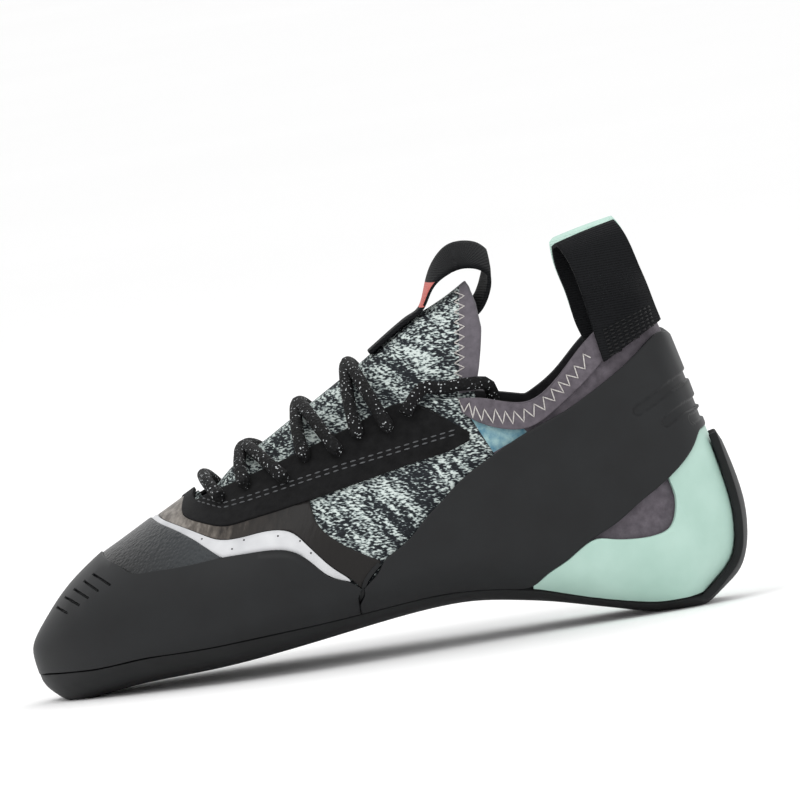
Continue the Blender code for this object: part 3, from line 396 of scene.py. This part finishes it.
def heathered(name, lie, fall, pale_share):
    """Knit whose stitches lie at one angle and whose yarn bands fall at another."""
    made, tree, shader, place = finish_of(name, Roughness=0.88, Specular_IOR_Level=0.2)
    warp = add(tree, "TexNoise", {"Vector": place, "Scale": 1 / WARP_SIZE, "Detail": 1.0})
    sway = add(tree, "VectorMath", {0: warp.outputs["Color"], 1: WARP}, operation="MULTIPLY")
    moved = add(tree, "VectorMath", {0: place, 1: sway.outputs[0]}, operation="ADD").outputs[0]
    stitch = grain(tree, moved, STITCH, 1.0, stretch=(0.4, 0.4, 1.0), turn=(0, lie, 0))
    yarn = grain(tree, moved, YARN, 2.0, stretch=(0.15, 0.3, 1.0), turn=(0, fall, 0))
    broad = grain(tree, moved, BAND, 1.0, stretch=(0.3, 0.3, 1.0), turn=(0, fall, 0))
    total = 0.0
    for part, share in ((stitch, STITCH_SHARE), (yarn, YARN_SHARE), (broad, BAND_SHARE)):
        scaled = add(tree, "Math", {0: part, 1: share}, operation="MULTIPLY").outputs[0]
        total = add(tree, "Math", {0: total, 1: scaled}, operation="ADD").outputs[0]
    edge = 0.5 - pale_share
    colours = ((0.430, "#1f2226"), (0.475, "#33373b"), (0.515, "#8b9695"), (0.57, "#cdd7d3"))
    coat(tree, shader, total, [(at + edge, code) for at, code in colours], stitch, 0.3 * MM, 0.7)
    return made


side_knit = heathered("heathered_side_knit", 0.15, 0.89, 0.485)
tongue_knit = heathered("heathered_tongue_knit", 0.15, 0.66, 0.49)
print("knits", side_knit.name, tongue_knit.name)

# %% [markdown]
# Webbing is woven tape: threads run along it, and each weft thread crosses it as a fine
# rib. The ribs have to turn with the tape, so they read the length along the tape, kept
# in an attribute. The lace is braided, with a pale fleck wherever its tracer yarn
# comes to the top. Sewing thread is plain, and only shades a little along its fibres.

# %% Webbing, lace and threads
RIB = 0.75 * MM
TURN = 6.283
BRAID = 1.0 * MM
FLECK = 0.9 * MM
FIBRE = 0.5 * MM


def woven_tape(name, dark, pale):
    """Webbing whose ribs follow the attribute `along`."""
    made, tree, shader, place = finish_of(name, Roughness=0.7, Specular_IOR_Level=0.1)
    run = add(tree, "Attribute", attribute_name="along").outputs["Fac"]
    turns = add(tree, "Math", {0: run, 1: TURN / RIB}, operation="MULTIPLY").outputs[0]
    ribs = add(tree, "Math", {0: turns}, operation="SINE").outputs[0]
    span = {"Value": ribs, "From Min": -1.0, "From Max": 1.0, "To Min": 0.1, "To Max": 0.75}
    tone = add(tree, "MapRange", span).outputs[0]
    fuzz = grain(tree, place, FIBRE, 2)
    summed = add(tree, "Math", {0: tone, 1: fuzz}, operation="ADD").outputs[0]
    coat(tree, shader, summed, [(0.4, dark), (1.1, pale)], summed, 0.22 * MM, 0.8)
    return made


def spun(name, dark, pale, **sockets):
    """Thread or fine weave, shaded along its fibres."""
    made, tree, shader, place = finish_of(name, **sockets)
    coat(tree, shader, grain(tree, place, FIBRE), [(0.3, dark), (0.7, pale)])
    return made


black_tape = woven_tape("black_webbing", "#050506", "#161719")
mint_tape = woven_tape("mint_webbing", "#a3c8ba", "#c3ddd3")

braid, tree, shader, place = finish_of("black_braid", Roughness=0.8, Specular_IOR_Level=0.2)
knots = add(tree, "TexVoronoi", {"Vector": place, "Scale": 1 / BRAID}, feature="F1").outputs["Distance"]
flecks = grain(tree, place, FLECK, 1)
pick = add(tree, "Math", {0: knots, 1: flecks}, operation="ADD").outputs[0]
coat(
    tree,
    shader,
    pick,
    [(0.60, "#bfc3c4"), (0.67, "#1d1e20"), (1.0, "#0b0b0c")],
    knots,
    -0.5 * MM,
    0.8,
)

white_thread = spun("white_thread", "#aaa6a3", "#cfcbc7", Roughness=0.7)
grey_thread = spun("grey_thread", "#3c3e40", "#5a5c5e", Roughness=0.7)
black_thread = spun("waxed_black_thread", "#070708", "#121214", Roughness=0.35, Specular_IOR_Level=0.25)
print(len(bpy.data.materials), "materials")

# %% [markdown]
# ## Dressing a layer
# A CAD solid is a shell of flat facets, about 6 mm across. Catmull-Clark subdivision
# turns them into the smooth sheet that they stand for. The rim is creased first, so that
# the layer keeps its cut edge and its corners. Subdivision also shrinks what it rounds, so
# each corner is pushed out twice by what it misses, and the smooth sheet passes through it.

# %% Smooth copies of the solids
MERGE = 0.01 * MM
PUSHES = 2
PUSH_SHARE = 0.8
SHARP_FROM = 40


def smooth_copy(name, *, levels, crease=0.92, angle=45):
    """A bmesh of a CAD node, merged, in quads, creased and subdivided."""
    mesh = bmesh.new()
    mesh.from_mesh(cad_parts[name].data)
    bmesh.ops.remove_doubles(mesh, verts=mesh.verts, dist=MERGE)
    bmesh.ops.join_triangles(
        mesh,
        faces=mesh.faces,
        angle_face_threshold=math.radians(35),
        angle_shape_threshold=math.radians(60),
    )
    sharp = mesh.edges.layers.float.get("crease_edge")
    sharp = sharp or mesh.edges.layers.float.new("crease_edge")
    for edge in mesh.edges:
        if edge.calc_face_angle(0) > math.radians(angle):
            edge[sharp] = crease
    data = bpy.data.meshes.new(name)
    mesh.to_mesh(data)
    mesh.free()
    holder = bpy.data.objects.new(name, data)
    bpy.context.scene.collection.objects.link(holder)
    smoother = holder.modifiers.new("smooth", "SUBSURF")
    smoother.levels = smoother.render_levels = levels
    smoother.boundary_smooth = "PRESERVE_CORNERS"
    graph = bpy.context.evaluated_depsgraph_get()
    wanted = [v.co.copy() for v in data.vertices]
    for _ in range(PUSHES):
        graph.update()
        soft = holder.evaluated_get(graph).to_mesh()
        short = [want - soft.vertices[i].co for i, want in enumerate(wanted)]
        for vertex, miss in zip(data.vertices, short):
            vertex.co += miss * PUSH_SHARE
        data.update()
    graph.update()
    made = bmesh.new()
    made.from_mesh(holder.evaluated_get(graph).to_mesh())
    bpy.data.objects.remove(holder)
    bpy.data.meshes.remove(data)
    for layer in list(made.edges.layers.float):
        made.edges.layers.float.remove(layer)
    return made


def piece(name, mesh, material, *nodes, slot=None):
    """A bmesh as a named object that rides on the shoe and replaces its solids."""
    data = bpy.data.meshes.new(name)
    mesh.to_mesh(data)
    mesh.free()
    data.shade_smooth()
    data.set_sharp_from_angle(angle=math.radians(SHARP_FROM))
    made = bpy.data.objects.new(name, data)
    bpy.context.scene.collection.objects.link(made)
    for one in material if isinstance(material, list) else [material]:
        data.materials.append(one)
    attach(made, "root")
    if nodes:
        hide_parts(*nodes)
    return made


print("solids", len(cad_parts))

# %% [markdown]
# Slits, stitches and pinholes are small, so they are placed by the picture: a spot of it
# gives a ray, and the ray's first hit on a layer is where the small form sits. Shrinkwrap
# could lay them down too, but it would slide them off their spots.


# %% Spots on a surface
def landing(*objects):
    """A tree that finds where a ray meets these objects."""
    graph = bpy.context.evaluated_depsgraph_get()
    together = bmesh.new()
    for thing in objects:
        together.from_mesh(thing.evaluated_get(graph).to_mesh())
    tree = BVHTree.FromBMesh(together)
    together.free()
    return tree


def on_surface(tree, spots, lift=0.0, side=-1, past=1 * MM):
    """Where spots of the picture lie on one side's surface, raised off it by lift."""
    points = []
    for px, py in spots:
        start, way = seen(px, py, side)
        hit, facing, _, _ = tree.ray_cast(start, way)
        if hit is None or hit.y * side < -past:
            continue
        if facing.dot(way) > 0:
            facing = -facing
        points.append(hit + facing * lift)
    return points


def spread(points, step):
    """Even points along a line, about this far apart."""
    gone = gone_along(points)
    count = max(round(gone[-1] / step), 1)
    made, i = [], 0
    for n in range(count + 1):
        goal = gone[-1] * n / count
        while i < len(gone) - 2 and gone[i + 1] < goal:
            i += 1
        part = (goal - gone[i]) / max(gone[i + 1] - gone[i], 1e-9)
        made.append(points[i].lerp(points[i + 1], min(max(part, 0.0), 1.0)))
    return made


print("even points on the free end", len(spread(route, 2 * MM)))

# %% [markdown]
# ## Rubber layers
# The toe rand carries five short slits that let it bend, and the heel rand has three long
# recesses that thin it where it meets the tendon. A Boolean would cut them, but it leaves
# ragged faces on a curved skin. Here a recess is pressed in: the skin near its line is cut
# finer, then moved inward.

# %% Recesses
PRESS_REACH = 1.4
PRESS_FINE = 0.3


def press(mesh, lines, width, depth, passes, ends=0.6):
    """Press grooves into a mesh: each line is its points, on the surface."""

    def nearest(point):
        best = 1.0
        for line in lines:
            for a, b in zip(line, line[1:]):
                run = b - a
                part = min(max((point - a).dot(run) / run.length_squared, 0.0), 1.0)
                best = min(best, (point - a.lerp(b, part)).length)
        return best

    def close_by(face):
        longest = max(e.calc_length() for e in face.edges)
        return nearest(face.calc_center_median()) < width * PRESS_REACH + longest / 2

    for _ in range(passes):
        near = {e for f in mesh.faces if close_by(f) for e in f.edges}
        long = [e for e in near if e.calc_length() > width * PRESS_FINE]
        bmesh.ops.subdivide_edges(mesh, edges=long, cuts=1, use_grid_fill=True)
        bmesh.ops.triangulate(mesh, faces=[f for f in mesh.faces if len(f.verts) > 4])
    mesh.normal_update()
    moves = []
    for vertex in mesh.verts:
        gap = nearest(vertex.co)
        if gap < width:
            share = min(max((width - gap) / (width * ends), 0.0), 1.0)
            moves.append((vertex, vertex.normal * (depth * share * share * (3 - 2 * share))))
    for vertex, move in moves:
        vertex.co -= move


print("a recess is cut finer up to", PRESS_REACH, "widths from its line")

# %% [markdown]
# The outsole is cut from 4 mm sheet and its lower edge is rounded on a wheel. Smoothing
# would let its flat underside sag a hair below the floor, so nothing of it stays below.

# %% Outsole
sole_mesh = smooth_copy("outsole", levels=2)
for vertex in sole_mesh.verts:
    vertex.co.z = max(vertex.co.z, 0.0)
sole = piece("outsole_rubber", sole_mesh, sole_rubber, "outsole")
print("outsole", len(sole.data.polygons), "faces")

# %% [markdown]
# The toe rand wraps the front of the foot. Its slits are short straight cuts, each one a
# pair of spots of the picture, and the far side has them too.

# %% Toe rand and its slits
SLITS = [
    ((57, 607), (67, 613)),
    ((65, 597), (79, 605)),
    ((74, 589), (88, 598)),
    ((84, 581), (98, 591)),
    ((93, 574), (110, 585)),
]
SLIT_WIDTH, SLIT_DEPTH, SLIT_STEP = 0.42 * MM, 1.1 * MM, 0.6 * MM
TOE_PAST = 15 * MM

toe = smooth_copy("toe_rand", levels=2)
toe_tree = BVHTree.FromBMesh(toe)
slit_lines = []
for side in (-1, 1):
    for line in SLITS:
        ends = on_surface(toe_tree, line, 0.0, side, TOE_PAST)
        if len(ends) == 2:
            slit_lines.append([toe_tree.find_nearest(p)[0] for p in spread(ends, SLIT_STEP)])
press(toe, slit_lines, SLIT_WIDTH, SLIT_DEPTH, passes=4)
toe_rand = piece("toe_rand_rubber", toe, rand_rubber, "toe_rand")
print("toe rand", len(slit_lines), "slits,", len(toe_rand.data.polygons), "faces")

# %% [markdown]
# The heel rand pulls the shoe forward. Its recesses run on round the back of the heel, so
# each line is laid on the outer side, mirrored, and joined behind the heel by points that
# are drawn in to the skin from a little way outside it.

# %% Heel rand and its recesses
POCKETS = [
    ((632, 409), (650, 396), (668, 383), (684, 371)),
    ((661, 421), (672, 413), (684, 404), (695, 396)),
    ((690, 416), (699, 409)),
]
POCKET_WIDTH, POCKET_DEPTH, POCKET_STEP = 1.7 * MM, 0.8 * MM, 1.5 * MM
HEEL_CENTRE = -20 * MM
OUTSIDE_HEEL = 6 * MM

heel = smooth_copy("heel_rand", levels=3)
heel_tree = BVHTree.FromBMesh(heel)


def round_the_heel(line):
    """A line from the outer side, on round the back, to the same place inside."""
    near = on_surface(heel_tree, line)
    far = [Vector((p.x, -p.y, p.z)) for p in reversed(near)]
    path = []
    for spot in spread(near + far, POCKET_STEP):
        out = Vector((spot.x - HEEL_CENTRE, spot.y, 0)).normalized()
        path.append(heel_tree.find_nearest(spot + out * OUTSIDE_HEEL)[0])
    return path


press(heel, [round_the_heel(line) for line in POCKETS], POCKET_WIDTH, POCKET_DEPTH, passes=2, ends=0.22)
heel_rand = piece("heel_rand_rubber", heel, rand_rubber, "heel_rand")
print("heel rand", len(POCKETS), "recesses,", len(heel_rand.data.polygons), "faces")

# %% [markdown]
# The heel cup and the toe patch are thin moulded rubber. Their solids have the right form
# already, window and edge, so a smooth copy is all that they need.

# %% Heel cup and toe patch
cup = piece("heel_cup_rubber", smooth_copy("heel_cup", levels=2), mint_rubber, "heel_cup")
patch = piece("toe_patch_rubber", smooth_copy("toe_patch", levels=2), grained, "toe_patch")
print("cup and patch", [len(o.data.polygons) for o in (cup, patch)], "faces")

# %% [markdown]
# ## Cloth layers
# The upper is one knit sock. Its rear quarter and the window in the heel cup are grey
# microfibre, so those faces take another material. The same goes for the lining inside,
# and for a small mottled panel below the collar, whose outline is cut into the faces. A
# mask in the material could do it too, but cut faces keep the edge crisp in any export.

# %% Upper and its panels
BLUE_PANEL = [(-54.1, 69.1), (-48.5, 56.9), (-37.4, 61.1), (-38.9, 63.5), (-47.3, 65.0)]
CUT_X, CUT_Z = (-60 * MM, -28 * MM), (50 * MM, 80 * MM)
INSIDE_FROM = 6 * MM
CUT_SNAP = 0.001 * MM


def cut(mesh, keep, spot, facing):
    """Cut the faces that are kept along the plane through a spot."""
    faces = [f for f in mesh.faces if keep(f.calc_center_median())]
    parts = faces + [e for f in faces for e in f.edges] + [v for f in faces for v in f.verts]
    geom = list(set(parts))
    bmesh.ops.bisect_plane(mesh, geom=geom, dist=CUT_SNAP, plane_co=spot, plane_no=facing)


def near_panel(middle):
    return CUT_X[0] < middle.x < CUT_X[1] and CUT_Z[0] < middle.z < CUT_Z[1]


def inside(x, z, outline):
    """Whether a spot lies inside a closed outline."""
    odd = False
    for (ax, az), (bx, bz) in zip(outline, outline[1:] + outline[:1]):
        if (az > z) != (bz > z) and x < ax + (z - az) / (bz - az) * (bx - ax):
            odd = not odd
    return odd


shell = smooth_copy("upper", levels=3)
for a, b in zip(BLUE_PANEL, BLUE_PANEL[1:] + BLUE_PANEL[:1]):
    cut(shell, near_panel, Vector((a[0], 0, a[1])) * MM, Vector((a[1] - b[1], 0, b[0] - a[0])))
shell.normal_update()
(fx, fz), (rx, rz) = BLUE_PANEL[:2]
for face in shell.faces:
    middle = face.calc_center_median()
    x, z = middle.x / MM, middle.z / MM
    behind = x > fx + (z - fz) / (rz - fz) * (rx - fx)
    if face.normal.y * middle.y < 0 and abs(middle.y) > INSIDE_FROM:
        face.material_index = 2
    elif inside(x, z, BLUE_PANEL):
        face.material_index = 3
    elif behind:
        face.material_index = 1
upper = piece("upper_knit", shell, [side_knit, grey_microfibre, dark_lining, blue_print], "upper")
print("upper", len(upper.data.polygons), "faces")

# %% [markdown]
# The tongue is a padded knit flap with a grey binding sewn down its rear edge. It is the
# softest part of the shoe, so it is let out a few millimetres there, where the CAD solid
# is straight, and its top corner is rounded.

# %% Tongue
REAR_EDGE = [(76, 0.5), (82, 2.6), (88, 4.1), (94, 5.4), (101, 5.1), (104, 4.2), (110, 3.2)]
SOFT_FROM, SOFT_OVER = -66, 14
CORNER_FROM, CORNER_OVER, CORNER_RISE = 98, 8, 2.0
BINDING_SPOT = (459, 340)
BINDING_FROM = 76 * MM


def let_out(height):
    """How far the tongue's rear edge moves back at a height, in millimetres."""
    for (z0, a), (z1, b) in zip(REAR_EDGE, REAR_EDGE[1:]):
        if z0 <= height < z1:
            return a + (b - a) * (height - z0) / (z1 - z0)
    return 0.0


flap = smooth_copy("tongue", levels=3)
for vertex in flap.verts:
    x, z = vertex.co.x / MM, vertex.co.z / MM
    share = min(max((x - SOFT_FROM) / SOFT_OVER, 0.0), 1.0)
    share = share * share * (3 - 2 * share)
    vertex.co.x += let_out(z) * share * MM
    vertex.co.z += CORNER_RISE * MM * share * min(max((z - CORNER_FROM) / CORNER_OVER, 0.0), 1.0)
seam_start, seam_way = seen(*BINDING_SPOT)
cut(flap, lambda middle: middle.z > BINDING_FROM, seam_start, seam_way.cross(up))
for face in flap.faces:
    middle = face.calc_center_median()
    if pixel(middle)[0] > BINDING_SPOT[0] and middle.z > BINDING_FROM:
        face.material_index = 1
tongue = piece("tongue_knit_pad", flap, [tongue_knit, binding_cloth], "tongue")
print("tongue", len(tongue.data.polygons), "faces")

# %% [markdown]
# The layers sewn over the sock are the white strip, the smoky film, the suede stay that
# carries the eyelets and the padded cuff round the collar. Inside lies the thin board
# under the foot. Their solids have the right outlines, so smooth copies do.

# %% Layers over the upper
band = piece("vamp_band_strip", smooth_copy("vamp_band", levels=2), coated, "vamp_band")
vamp = piece("vamp_film_skin", smooth_copy("vamp_film", levels=2), film, "vamp_film")
stay = piece("eyestay_suede", smooth_copy("eyestay", levels=3), suede, "eyestay")
cuff_mesh = smooth_copy("collar_cuff", levels=3)
cuff = piece("collar_cuff_cloth", cuff_mesh, grey_microfibre, "collar_cuff")
board = piece("insole_board", smooth_copy("insole", levels=2), dark_lining, "insole")
print("layers", [len(o.data.polygons) for o in (band, vamp, stay, cuff, board)], "faces")

# %% [markdown]
# ## Laces and webbing
# The lace crosses the throat in one bar and three crossings. They keep the CAD's own form,
# smoothed with a light crease, because a lace is round and has no hard edge.

# %% Laces
for node in ("lace_bar", "lace_crossing_1", "lace_crossing_2", "lace_crossing_3"):
    run = smooth_copy(node, levels=2, crease=0.3, angle=70)
    print(piece(node + "_braid", run, braid, node).name)
lace_end.data.materials.append(braid)

# %% [markdown]
# Three loops of webbing help to pull the shoe on, two at the heel and one on the tongue.
# Each tape gets an `along` attribute: down each leg it is the height below the fold, and
# over the fold it is the length gone round it, so the ribs meet at the top. The tongue's
# loop carries a red label, cut into its outer leg.

# %% Tapes
HEEL_FOLD = (-8, 16.5, 111)
HEEL_FOLD_RADIUS = 6.5 * MM
HEEL_OUTWARD = (0.31, 0.95)
TONGUE_FOLD = Vector((-51, 0, 112)) * MM
TONGUE_FOLD_RADIUS = 8 * MM
TAG_LOW, TAG_HIGH = 102.6 * MM, 109.6 * MM
TAG_BEFORE = -57 * MM


def tape(node, material, centre, outward, radius):
    """A loop of webbing whose ribs follow it round its fold."""
    mesh = smooth_copy(node, levels=2)
    run = mesh.verts.layers.float.new("along")
    for vertex in mesh.verts:
        away = vertex.co - centre
        out, height = abs(away.dot(outward)), away.z
        vertex[run] = -height if height < 0 else -radius * math.atan2(height, out)
    return piece(node + "_tape", mesh, material, node)


for side, node, material in ((-1, "heel_loop_outer", black_tape), (1, "heel_loop_inner", mint_tape)):
    outward = Vector((HEEL_OUTWARD[0], HEEL_OUTWARD[1] * side, 0)).normalized()
    middle = Vector((HEEL_FOLD[0], side * HEEL_FOLD[1], HEEL_FOLD[2])) * MM
    tape(node, material, middle, outward, HEEL_FOLD_RADIUS)
tab = tape("tongue_loop", black_tape, TONGUE_FOLD, Vector((-1, 0, 0)), TONGUE_FOLD_RADIUS)
tab.data.materials.append(spun("woven_red_tag", "#a9524d", "#c9736b", Roughness=0.8))
tag_mesh = bmesh.new()
tag_mesh.from_mesh(tab.data)
for height in (TAG_LOW, TAG_HIGH):
    cut(tag_mesh, lambda middle: True, Vector((0, 0, height)), Vector((0, 0, 1)))
for face in tag_mesh.faces:
    middle = face.calc_center_median()
    if TAG_LOW < middle.z < TAG_HIGH and middle.x < TAG_BEFORE and face.normal.x < 0:
        face.material_index = 1
tag_mesh.to_mesh(tab.data)
tag_mesh.free()
print("label", round((TAG_HIGH - TAG_LOW) / MM, 1), "mm high")

# %% [markdown]
# ## Stitches
# A stitch is a short bead of thread. Each row follows a line of the picture, laid on the
# surface under it, and one low bead is copied along it. The zigzag that binds the collar
# and the tongue is one thread that swings from edge to edge.


# %% Threads
ROW_STEP = 5
STITCH_LIFT, ZIGZAG_LIFT = 0.08 * MM, 0.12 * MM
STITCH_LONG, STITCH_GAP, STITCH_THICK = 1.9 * MM, 0.9 * MM, 0.5 * MM
ZIGZAG_THICK = 0.4 * MM
ZIGZAG_CUTS = 4
THREAD_SIDES = 5
LONGEST_JUMP = 5 * MM
SIDES = ((-1, "outer"), (1, "inner"))


def finer(line, steps):
    """A line of the picture, with this many steps in each stretch, or one in ROW_STEP pixels."""
    fine = []
    for a, b in zip(line, line[1:]):
        count = steps or max(int(math.dist(a, b) / ROW_STEP), 1)
        fine += [tuple(p + (q - p) * n / count for p, q in zip(a, b)) for n in range(count)]
    return fine


def stitch_row(name, tree, lines, material, side, long=STITCH_LONG, gap=STITCH_GAP, thick=STITCH_THICK):
    """Beads of thread along lines of the picture."""
    mesh = bmesh.new()
    for line in lines:
        points = on_surface(tree, finer(line, None) + [line[-1]], STITCH_LIFT, side)
        if len(points) < 2:
            continue
        ends = spread(points, long + gap)
        for a, b in zip(ends, ends[1:]):
            turn = (b - a).normalized().to_track_quat("X", "Z").to_matrix().to_4x4()
            size = Matrix.Diagonal((long / 2, thick / 2, thick / 2, 1))
            bmesh.ops.create_uvsphere(
                mesh,
                u_segments=8,
                v_segments=5,
                radius=1,
                matrix=Matrix.Translation((a + b) / 2) @ turn @ size,
            )
    return piece(name, mesh, material, slot="eyestay")


def thread(name, points, thickness, material, slot="collar_cuff"):
    """One thread through points, as a mesh tube."""
    return piece(name, tube(points, thickness, THREAD_SIDES), material, slot=slot)


def zigzag_thread(name, tree, highs, lows, side):
    """One thread that swings between two lines of the picture."""
    weave = [spot for pair in zip(highs, lows) for spot in pair]
    points = on_surface(tree, finer(weave, ZIGZAG_CUTS), ZIGZAG_LIFT, side)
    whole = [points[0]]
    for point in points[1:]:
        if (point - whole[-1]).length < LONGEST_JUMP:
            whole.append(point)
    return thread(name, whole, ZIGZAG_THICK, white_thread)


print("a stitch and its gap", round((STITCH_LONG + STITCH_GAP) / MM, 1), "mm")

# %% [markdown]
# The suede stay is sewn down by a double row of grey thread below and a single row of
# waxed black thread above, next to the lace.

# %% Rows on the eyestay
STAY_LOW = [
    (197, 501), (222, 508), (250, 500), (306, 481),
    (342, 469), (375, 459), (420, 445), (456, 434),
]
STAY_HIGH = [
    (206, 491), (236, 478), (293, 451), (345, 426),
    (374, 412), (398, 400), (430, 411), (460, 426),
]
ROWS_APART = 4.5

stay_tree = landing(stay)
inner_row = [(x, y - ROWS_APART) for x, y in STAY_LOW]
for side, word in SIDES:
    stitch_row("eyestay_low_stitches_" + word, stay_tree, [STAY_LOW, inner_row], grey_thread, side)
    high = stitch_row("eyestay_high_stitches_" + word, stay_tree, [STAY_HIGH], black_thread, side)
    print(high.name, len(high.data.polygons), "faces")

# %% [markdown]
# The zigzag round the collar swings between the edge of the cuff and the knit below. The
# one on the tongue holds its grey binding, and its swings are even, so it is a formula.

# %% Zigzags
ZIGZAG_LOW = [
    (464, 412), (473, 418), (482, 421), (493, 423), (503, 424), (513, 424), (524, 422), (534, 417),
    (545, 410), (555, 401), (564, 393), (570, 386), (578, 378), (585, 369), (593, 359),
]
ZIGZAG_HIGH = [
    (459, 400), (469, 403), (475, 406), (484, 409), (495, 409), (505, 411), (514, 411), (524, 409),
    (534, 404), (543, 397), (551, 389), (558, 382), (566, 375), (574, 366), (583, 354),
]
BINDING_TOP, BINDING_STEP, BINDING_SWINGS = 292, 10.2, 9
BINDING_LEFT, BINDING_RIGHT, BINDING_FALL = 454.5, 464.5, 4

cuff_tree = landing(cuff, upper)
tongue_tree = landing(tongue)
rows = [BINDING_TOP + BINDING_STEP * n for n in range(BINDING_SWINGS)]
lefts = [(BINDING_LEFT, y) for y in rows]
rights = [(BINDING_RIGHT, y + BINDING_FALL) for y in rows]
for side, word in SIDES:
    zigzag_thread("collar_zigzag_" + word, cuff_tree, ZIGZAG_HIGH, ZIGZAG_LOW, side)
    zigzag_thread("tongue_zigzag_" + word, tongue_tree, lefts, rights, side)
print("swings", len(ZIGZAG_LOW), "on the collar,", BINDING_SWINGS, "on the tongue")

# %% [markdown]
# The legs of a heel loop are sewn down with a box of dense stitches, in the colour of the
# tape. Eight slanted rows make the box.

# %% Box stitches
BOX_LEFT, BOX_RIGHT = (602, 331), (650, 306)
BOX_LEAN, BOX_FALL, BOX_COUNT = 1, 3.6, 8
BOX_LONG, BOX_GAP, BOX_THICK = 1.6 * MM, 0.5 * MM, 0.7 * MM

box = [
    [(x + BOX_LEAN * n, y + BOX_FALL * n) for x, y in (BOX_LEFT, BOX_RIGHT)]
    for n in range(BOX_COUNT)
]
for (side, word), yarn in zip(SIDES, (black_thread, mint_tape)):
    loop_tree = landing(bpy.data.objects["heel_loop_" + word + "_tape"])
    name = "heel_loop_box_stitch_" + word
    stitch_row(name, loop_tree, box, yarn, side, BOX_LONG, BOX_GAP, BOX_THICK)
    print(name)

# %% [markdown]
# The white strip is perforated. A pinhole is far smaller than a face of the strip, so
# cutting it would cost many faces: a tiny dark bead at its place reads the same.

# %% Pinholes
PINHOLES = [
    (194, 529), (202, 539), (221, 537), (232, 549), (244, 540),
    (255, 532), (278, 536), (300, 541), (311, 553),
]
PIN_RADIUS = 0.28 * MM

pin_dark, tree, shader, place = finish_of("pinhole_shadow", Roughness=1.0, Specular_IOR_Level=0.0)
coat(tree, shader, grain(tree, place, 1 * MM), [(0.0, "#0b0b0b"), (1.0, "#161616")])
band_tree = landing(band)
pins = bmesh.new()
for side, word in SIDES:
    for spot in on_surface(band_tree, PINHOLES, 0.0, side):
        bmesh.ops.create_uvsphere(
            pins,
            u_segments=8,
            v_segments=6,
            radius=PIN_RADIUS,
            matrix=Matrix.Translation(spot),
        )
pinholes = piece("vamp_band_pinholes", pins, pin_dark, slot="vamp_band")
print("pinholes", len(pinholes.data.polygons), "faces")

# %% [markdown]
# Where the toe rand and the heel rand meet, a bead of rubber cement fills the seam.

# %% The rand seam
SEAM = [(379, 564), (375, 568), (370, 574), (366, 580), (363, 588), (361.5, 596), (361, 604)]
SEAM_LIFT, SEAM_STEP, SEAM_THICK = 0.4 * MM, 1.2 * MM, 2.2 * MM

rand_tree = landing(upper)
for side, word in SIDES:
    seam = on_surface(rand_tree, SEAM, SEAM_LIFT, side)
    if len(seam) > 2:
        bead = spread(seam, SEAM_STEP)
        thread("rand_seam_cement_" + word, bead, SEAM_THICK, rand_rubber, slot="toe_rand")
        print("seam", word, len(bead), "points")

# %% [markdown]
# ## Studio
# A pale floor, a pale room and large soft lights, as for a product picture. Large lights
# give soft shadows, and the pale room fills them, so the black rubber keeps its form.

# %% Floor and lights
FLOOR_SIZE = 60
LIT = Vector((-0.08, 0, 0.05))

floor_mesh = bmesh.new()
bmesh.ops.create_grid(floor_mesh, x_segments=1, y_segments=1, size=FLOOR_SIZE)
floor_data = bpy.data.meshes.new("floor")
floor_mesh.to_mesh(floor_data)
floor_mesh.free()
floor = bpy.data.objects.new("floor", floor_data)
bpy.context.scene.collection.objects.link(floor)
pale, tree, shader, place = finish_of("pale_floor", Roughness=0.9)
coat(tree, shader, grain(tree, place, 0.5), [(0.0, "#fcfcfc"), (1.0, "#ffffff")])
floor_data.materials.append(pale)

world = bpy.data.worlds.new("room")
world.use_nodes = True
world.node_tree.nodes["Background"].inputs["Color"].default_value = (1, 1, 1, 1)
world.node_tree.nodes["Background"].inputs["Strength"].default_value = 1.0
bpy.context.scene.world = world
bpy.context.scene.view_settings.view_transform = "Standard"


def lamp(name, where, power, size):
    """A square soft light that points at the shoe."""
    data = bpy.data.lights.new(name, "AREA")
    data.energy = power
    data.size = size
    made = bpy.data.objects.new(name, data)
    bpy.context.scene.collection.objects.link(made)
    made.location = where
    made.rotation_euler = (LIT - Vector(where)).to_track_quat("-Z", "Y").to_euler()


lamp("key", (-0.7, -0.9, 1.5), 6, 0.7)
lamp("fill", (0.9, -1.0, 0.7), 2, 0.9)
lamp("rim", (0.3, 1.0, 1.1), 4, 1.0)
